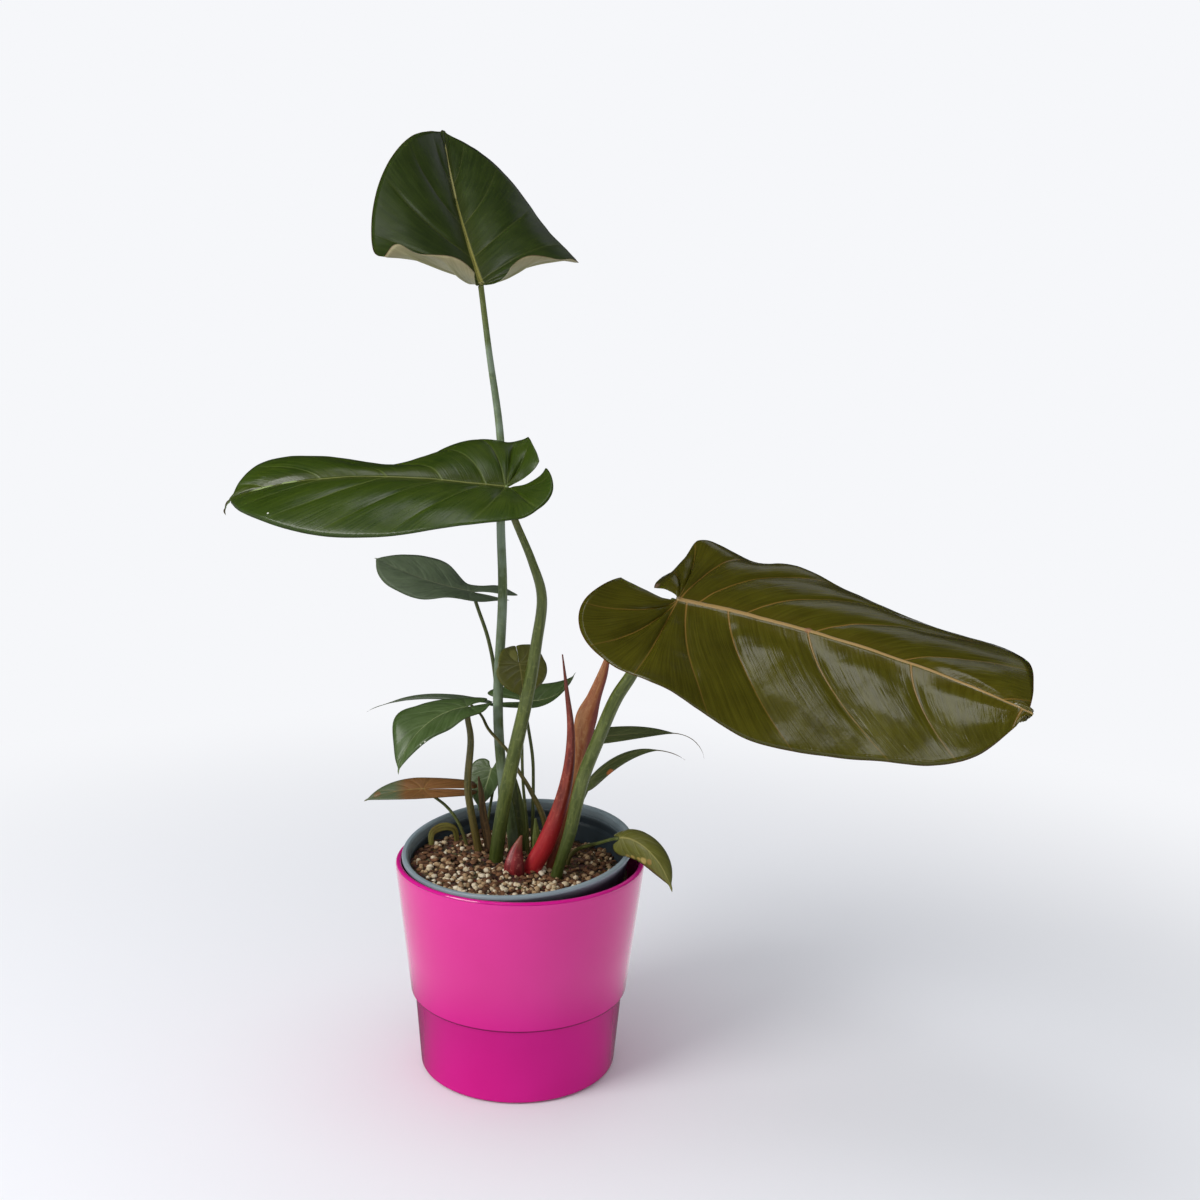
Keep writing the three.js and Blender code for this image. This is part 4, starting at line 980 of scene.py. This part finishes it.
def makeNurseryPot():
    p = nurseryPot
    foot, neck, rim, wall, h = p["foot"], p["neck"], p["rim"], p["wall"], p["height"]
    corners = [
        (0, 0), (foot - 1, 0), (foot, 1, 0.6), (neck, h - 9, 0.8), (rim - 2.6, h - 6, 1),
        (rim - 1.2, h - 3.8, 0.8), (rim, h - 1.8, 0.8), (rim - 0.7, h, 0.5), (neck + 0.8, h, 0.5),
        (neck - 0.4, h - 1.4, 0.5), (neck - 0.75, h - 6, 0.3), (neck - 1.3, h - 6.4, 0.3),
        (neck - 1.5, h - 11.6, 0.3), (neck - 2.9, h - 13.5, 0.4), (foot - wall, 3, 1),
        (foot - 3.5, wall, 0.5), (0, wall)]
    bm = spinProfile(roundedProfile(corners), p["spinSteps"])
    bmesh.ops.transform(bm, matrix=leanMatrix(), verts=bm.verts)
    scaleToMetres(bm)
    pot = finishPiece("nursery_pot_lined", bm, [nurseryMaterial()], ["nursery_pot"])
    cutter = bmesh.new()
    for i in range(p["drainHoles"]):
        around = 2 * math.pi * i / p["drainHoles"]
        spot = Matrix.Translation((p["drainCircle"] * math.cos(around),
                                   p["drainCircle"] * math.sin(around), 0))
        bmesh.ops.create_cone(cutter, cap_ends=True, segments=p["drainSteps"],
                              radius1=p["drainRadius"], radius2=p["drainRadius"],
                              depth=p["drainDepth"], matrix=leanMatrix() @ spot)
    scaleToMetres(cutter)
    tool = addToScene("drain cutter", asMesh("drain cutter", cutter))
    cut = pot.modifiers.new("drain holes", "BOOLEAN")
    cut.object, cut.operation, cut.solver = tool, "DIFFERENCE", "EXACT"
    bpy.context.view_layer.update()
    finished = bpy.data.meshes.new_from_object(pot.evaluated_get(bpy.context.evaluated_depsgraph_get()))
    pot.modifiers.clear()
    pot.data = finished
    bpy.data.objects.remove(tool)
    return pot


makeNurseryPot()
print("pots made", flush=True)

# Potting mix: lumpy bark and peat with pale volcanic grit, lower towards the right.
# crown: how far the top falls off with distance from the middle. lumps: seed, scale and height of
# each size of lump. skirt: the body below the top, each step's drop and how much it narrows.
mix = {"height": 132.3, "tilt": math.sin(math.radians(3)), "radius": 70.2, "gridSteps": 110,
       "crown": ((0, 0.2), (25, -0.3), (60, -1.8), (95, -3.3)), "lumps": ((3, 0.11, 1.6), (9, 0.35, 0.8)),
       "shift": (0.8, 1.2), "skirt": ((12, 0.985), (40, 0.86), (40, 0.84)), "skirtLean": (0.05, 0.07),
       "crumb": 2, "cloud": 8, "crumbHeight": 1.5, "crumbShare": 0.5, "bump": 0.9, "lightFrom": 0.35,
       "lightTo": 0.68, "dark": "33211A", "light": "6E5038"}


def mixLevel(x, y):
    crown = straight(mix["crown"], math.hypot(x, y))
    lumps = sum(noise.noise(Vector((x, y, seed)) * scale) * height
                for seed, scale, height in mix["lumps"])
    return mix["height"] + crown - mix["tilt"] * x + lumps


# Peat and bark crumbs: dull, damp and nearly black between them, each crumb its own shade of brown
def mixMaterial():
    material, tree, shader = newMaterial("bark and peat mix", mix["dark"], IOR=1.4, Roughness=0.9)
    place = addNode(tree, "TexCoord").outputs["Object"]
    crumbs = addNode(tree, "TexVoronoi", {"Vector": place, "Scale": perSize(mix["crumb"])})
    cloud = addNode(tree, "TexNoise", {"Vector": place, "Scale": perSize(mix["cloud"]), "Detail": 5.0})
    share = addNode(tree, "MapRange", {0: cloud, 1: mix["lightFrom"], 2: mix["lightTo"]})
    colour = layOver(tree, mix["dark"], [(share, 1.0, mix["light"])])
    colour = addNode(tree, "Mix", {0: mix["crumbShare"], 6: colour, 7: crumbs.outputs["Color"]},
                     data_type="RGBA", blend_type="SOFT_LIGHT")
    dress(tree, shader, colour, crumbs.outputs["Distance"], mix["crumbHeight"], mix["bump"])
    return material


def makeMix():
    bm = bmesh.new()
    bmesh.ops.create_grid(bm, x_segments=mix["gridSteps"], y_segments=mix["gridSteps"], size=1)
    centre = Vector(nurseryPot["centre"]).to_2d() + Vector(mix["shift"])
    for v in bm.verts:
        u, w = v.co.x, v.co.y
        x = u * math.sqrt(1 - w * w / 2) * mix["radius"] + centre.x  # the square grid pulled round
        y = w * math.sqrt(1 - u * u / 2) * mix["radius"] + centre.y
        v.co = (x, y, mixLevel(x, y))
    rims = [e for e in bm.edges if e.is_boundary]
    leanX, leanY = mix["skirtLean"]
    for drop, scale in mix["skirt"]:
        lower = bmesh.ops.extrude_edge_only(bm, edges=rims)["geom"]
        rims = [g for g in lower if isinstance(g, bmesh.types.BMEdge)]
        for v in [g for g in lower if isinstance(g, bmesh.types.BMVert)]:
            v.co.z -= drop
            v.co.x = centre.x + (v.co.x - centre.x) * scale + leanX * drop
            v.co.y = centre.y + (v.co.y - centre.y) * scale + leanY * drop
    bmesh.ops.holes_fill(bm, edges=rims, sides=0)
    bmesh.ops.recalc_face_normals(bm, faces=bm.faces)
    scaleToMetres(bm)
    return finishPiece("potting_mix_surface", bm, [mixMaterial()], ["potting_mix"])


makeMix()

# Grains by kind, radius in mm. front: how much thinner they lie at the back than at the front
grit = {
    "perlite": dict(count=600, size=(0.9, 2.1), flat=0.85, sink=0.25, colour="C0AC8A", pale="E6DAC4",
                    front=0.85, seed=11),
    "pumice": dict(count=440, size=(0.8, 1.9), flat=0.8, sink=0.2, colour="8E7050", pale="B89C78",
                   front=0.4, seed=23),
    "bark": dict(count=620, size=(0.9, 2.8), flat=0.45, sink=0.2, colour="4A3020", pale="80583A",
                 front=0.0, seed=37),
}
gritPattern = {"cloud": 5, "paleFrom": 0.35, "paleTo": 0.65, "pit": 0.9, "pitHeight": 0.4, "bump": 0.5}
gritBuild = {"spread": 67, "segments": 8, "rings": 5, "tilt": 0.5, "stretch": (0.8, 1.35), "rough": 0.16,
             "frontEdge": -45, "frontReach": 50}


# Crushed mineral and bark: dull and porous, each grain a little clouded and pitted
def gritMaterial(name, look):
    p = gritPattern
    material, tree, shader = newMaterial(name, look["colour"], IOR=1.45, Roughness=0.85)
    place = addNode(tree, "TexCoord").outputs["Object"]
    cloud = addNode(tree, "TexNoise", {"Vector": place, "Scale": perSize(p["cloud"]), "Detail": 3.0})
    share = addNode(tree, "MapRange", {0: cloud, 1: p["paleFrom"], 2: p["paleTo"]})
    pits = addNode(tree, "TexNoise", {"Vector": place, "Scale": perSize(p["pit"]), "Detail": 2.0})
    dress(tree, shader, layOver(tree, look["colour"], [(share, 1.0, look["pale"])]), pits,
          p["pitHeight"], p["bump"])
    return material


# Grains of one kind: low facets, each turned and pulled out of round
def makeGrit(name, look):
    b = gritBuild
    rng = random.Random(look["seed"])
    bm = bmesh.new()
    grain = bmesh.new()
    bmesh.ops.create_uvsphere(grain, u_segments=b["segments"], v_segments=b["rings"], radius=1)
    spare = bpy.data.meshes.new("spare grain")
    centre = Vector(nurseryPot["centre"]).to_2d()
    for _ in range(look["count"]):
        r = b["spread"] * math.sqrt(rng.random())
        a = rng.random() * 2 * math.pi
        x, y = centre.x + r * math.cos(a), centre.y + r * math.sin(a)
        size = rng.uniform(*look["size"])
        turn = Matrix.Rotation(rng.random() * 6.28, 4, "Z")
        turn = turn @ Matrix.Rotation(rng.uniform(-b["tilt"], b["tilt"]), 4, "X")
        stretch = Matrix.Diagonal((size * rng.uniform(*b["stretch"]), size, size * look["flat"], 1))
        if rng.random() < look["front"] * clamp((y - b["frontEdge"]) / b["frontReach"]):
            continue
        z = mixLevel(x, y) + size * look["flat"] * (1 - look["sink"] * 2)
        place = Matrix.Translation((x, y, z)) @ turn @ stretch
        made = grain.copy()
        for v in made.verts:
            away = Vector([rng.uniform(-b["rough"], b["rough"]) * size for _ in range(3)])
            v.co = place @ v.co + away
        made.to_mesh(spare)
        made.free()
        bm.from_mesh(spare)
    scaleToMetres(bm)
    return finishPiece("mix_" + name, bm, [gritMaterial("mix grit, " + name, look)], [])


for gritName, gritLook in grit.items():
    makeGrit(gritName, gritLook)
print("potting mix made", flush=True)

# Studio: pale floor and air, one broad soft light from the left front, weaker ones above and behind.
# focal and frame are in pixels, place in mm, the reaches on the floor and the lamps in metres.
studio = {"focal": 1391, "frame": 1200, "pitch": 9.83, "roll": 1.34, "place": (47.3, -856.9, 455.5),
          "sensor": 36, "clipEnd": 50, "air": "F6F7FA", "airLight": 0.66, "airGloss": 0.02,
          "shadeGloss": 0.12, "floor": "EDEFF4", "floorHalf": 6, "floorNear": 0.25, "floorFar": 0.95,
          "shadeNear": 0.1, "shadeFar": 0.18, "farGloss": 0.85}
lamps = {
    "key": dict(at=(-1.25, -0.95, 1.15), aim=(0.0, 0.0, 0.25), size=1.0, power=21, colour="FFFDFA"),
    "top": dict(at=(-0.28, -0.18, 1.65), aim=(0.1, -0.05, 0.3), size=0.6, power=2.7, colour="FFFFFF"),
    "back": dict(at=(0.55, 1.3, 1.3), aim=(0.1, 0, 0.3), size=0.7, power=0.5, colour="F6F8FF"),
}
bpy.context.scene.view_settings.view_transform = "Standard"


# Matt paint that fades into the air. Reflections see it darker near the pot, so that the foot's glaze
# keeps its depth.
def floorMaterial():
    p = studio
    material, tree, shader = newMaterial("painted floor", p["floor"], Roughness=0.8)
    place = addNode(tree, "TexCoord").outputs["Object"]
    away = addNode(tree, "VectorMath", {0: place}, operation="LENGTH")
    far = addNode(tree, "MapRange", {0: away, 1: p["floorNear"], 2: p["floorFar"]}, **softRange)
    glow = addNode(tree, "Emission", {0: linear(p["air"]), 1: 1.0})
    seen = addNode(tree, "MixShader", {0: far, 1: shader, 2: glow})
    gloss = addNode(tree, "MapRange", {0: away, 1: p["shadeNear"], 2: p["shadeFar"],
                                       3: p["shadeGloss"], 4: p["farGloss"]}, **softRange)
    mirrored = addNode(tree, "Emission", {0: linear(p["air"]), 1: gloss})
    inMirror = addNode(tree, "LightPath").outputs["Is Glossy Ray"]
    both = addNode(tree, "MixShader", {0: inMirror, 1: seen, 2: mirrored})
    feed(tree, tree.nodes["Material Output"], {0: both})
    return material


def makeFloor():
    bm = bmesh.new()
    bmesh.ops.create_grid(bm, x_segments=1, y_segments=1, size=studio["floorHalf"])
    mesh = asMesh("floor", bm)
    mesh.materials.append(floorMaterial())
    addToScene("floor", mesh)


def makeAir():
    world = bpy.data.worlds.new("studio air")
    bpy.context.scene.world = world
    world.use_nodes = True
    tree = world.node_tree
    rays = addNode(tree, "LightPath")
    lit = addNode(tree, "Mix", {0: rays.outputs["Is Glossy Ray"], 2: studio["airLight"],
                                3: studio["airGloss"]})
    strength = addNode(tree, "Mix", {0: rays.outputs["Is Camera Ray"], 2: lit, 3: 1.0})
    feed(tree, tree.nodes["Background"], {0: linear(studio["air"]), 1: strength})


def makeLamp(name, lamp):
    data = bpy.data.lights.new(name, "AREA")
    data.shape, data.size, data.energy = "DISK", lamp["size"], lamp["power"]
    data.color = linear(lamp["colour"])[:3]
    light = addToScene(name, data)
    light.location = lamp["at"]
    aim = Vector(lamp["aim"]) - light.location
    light.rotation_euler = aim.to_track_quat("-Z", "Y").to_euler()


def makeCamera():
    pitch, roll = math.radians(studio["pitch"]), math.radians(studio["roll"])
    forward = Vector((0, math.cos(pitch), -math.sin(pitch)))
    level = Vector((1, 0, 0))
    upright = level.cross(forward)
    right = level * math.cos(roll) + upright * math.sin(roll)
    up = upright * math.cos(roll) - level * math.sin(roll)
    turn = Matrix((right, up, -forward)).transposed().to_4x4()
    data = bpy.data.cameras.new("camera")
    data.sensor_width = studio["sensor"]
    data.lens = studio["sensor"] * studio["focal"] / studio["frame"]
    data.clip_end = studio["clipEnd"]
    camera = addToScene("camera", data)
    camera.matrix_world = Matrix.Translation(Vector(studio["place"]) * mm) @ turn
    bpy.context.scene.camera = camera


makeFloor()
makeAir()
for lampName, lamp in lamps.items():
    makeLamp(lampName, lamp)
makeCamera()
print("studio ready", flush=True)
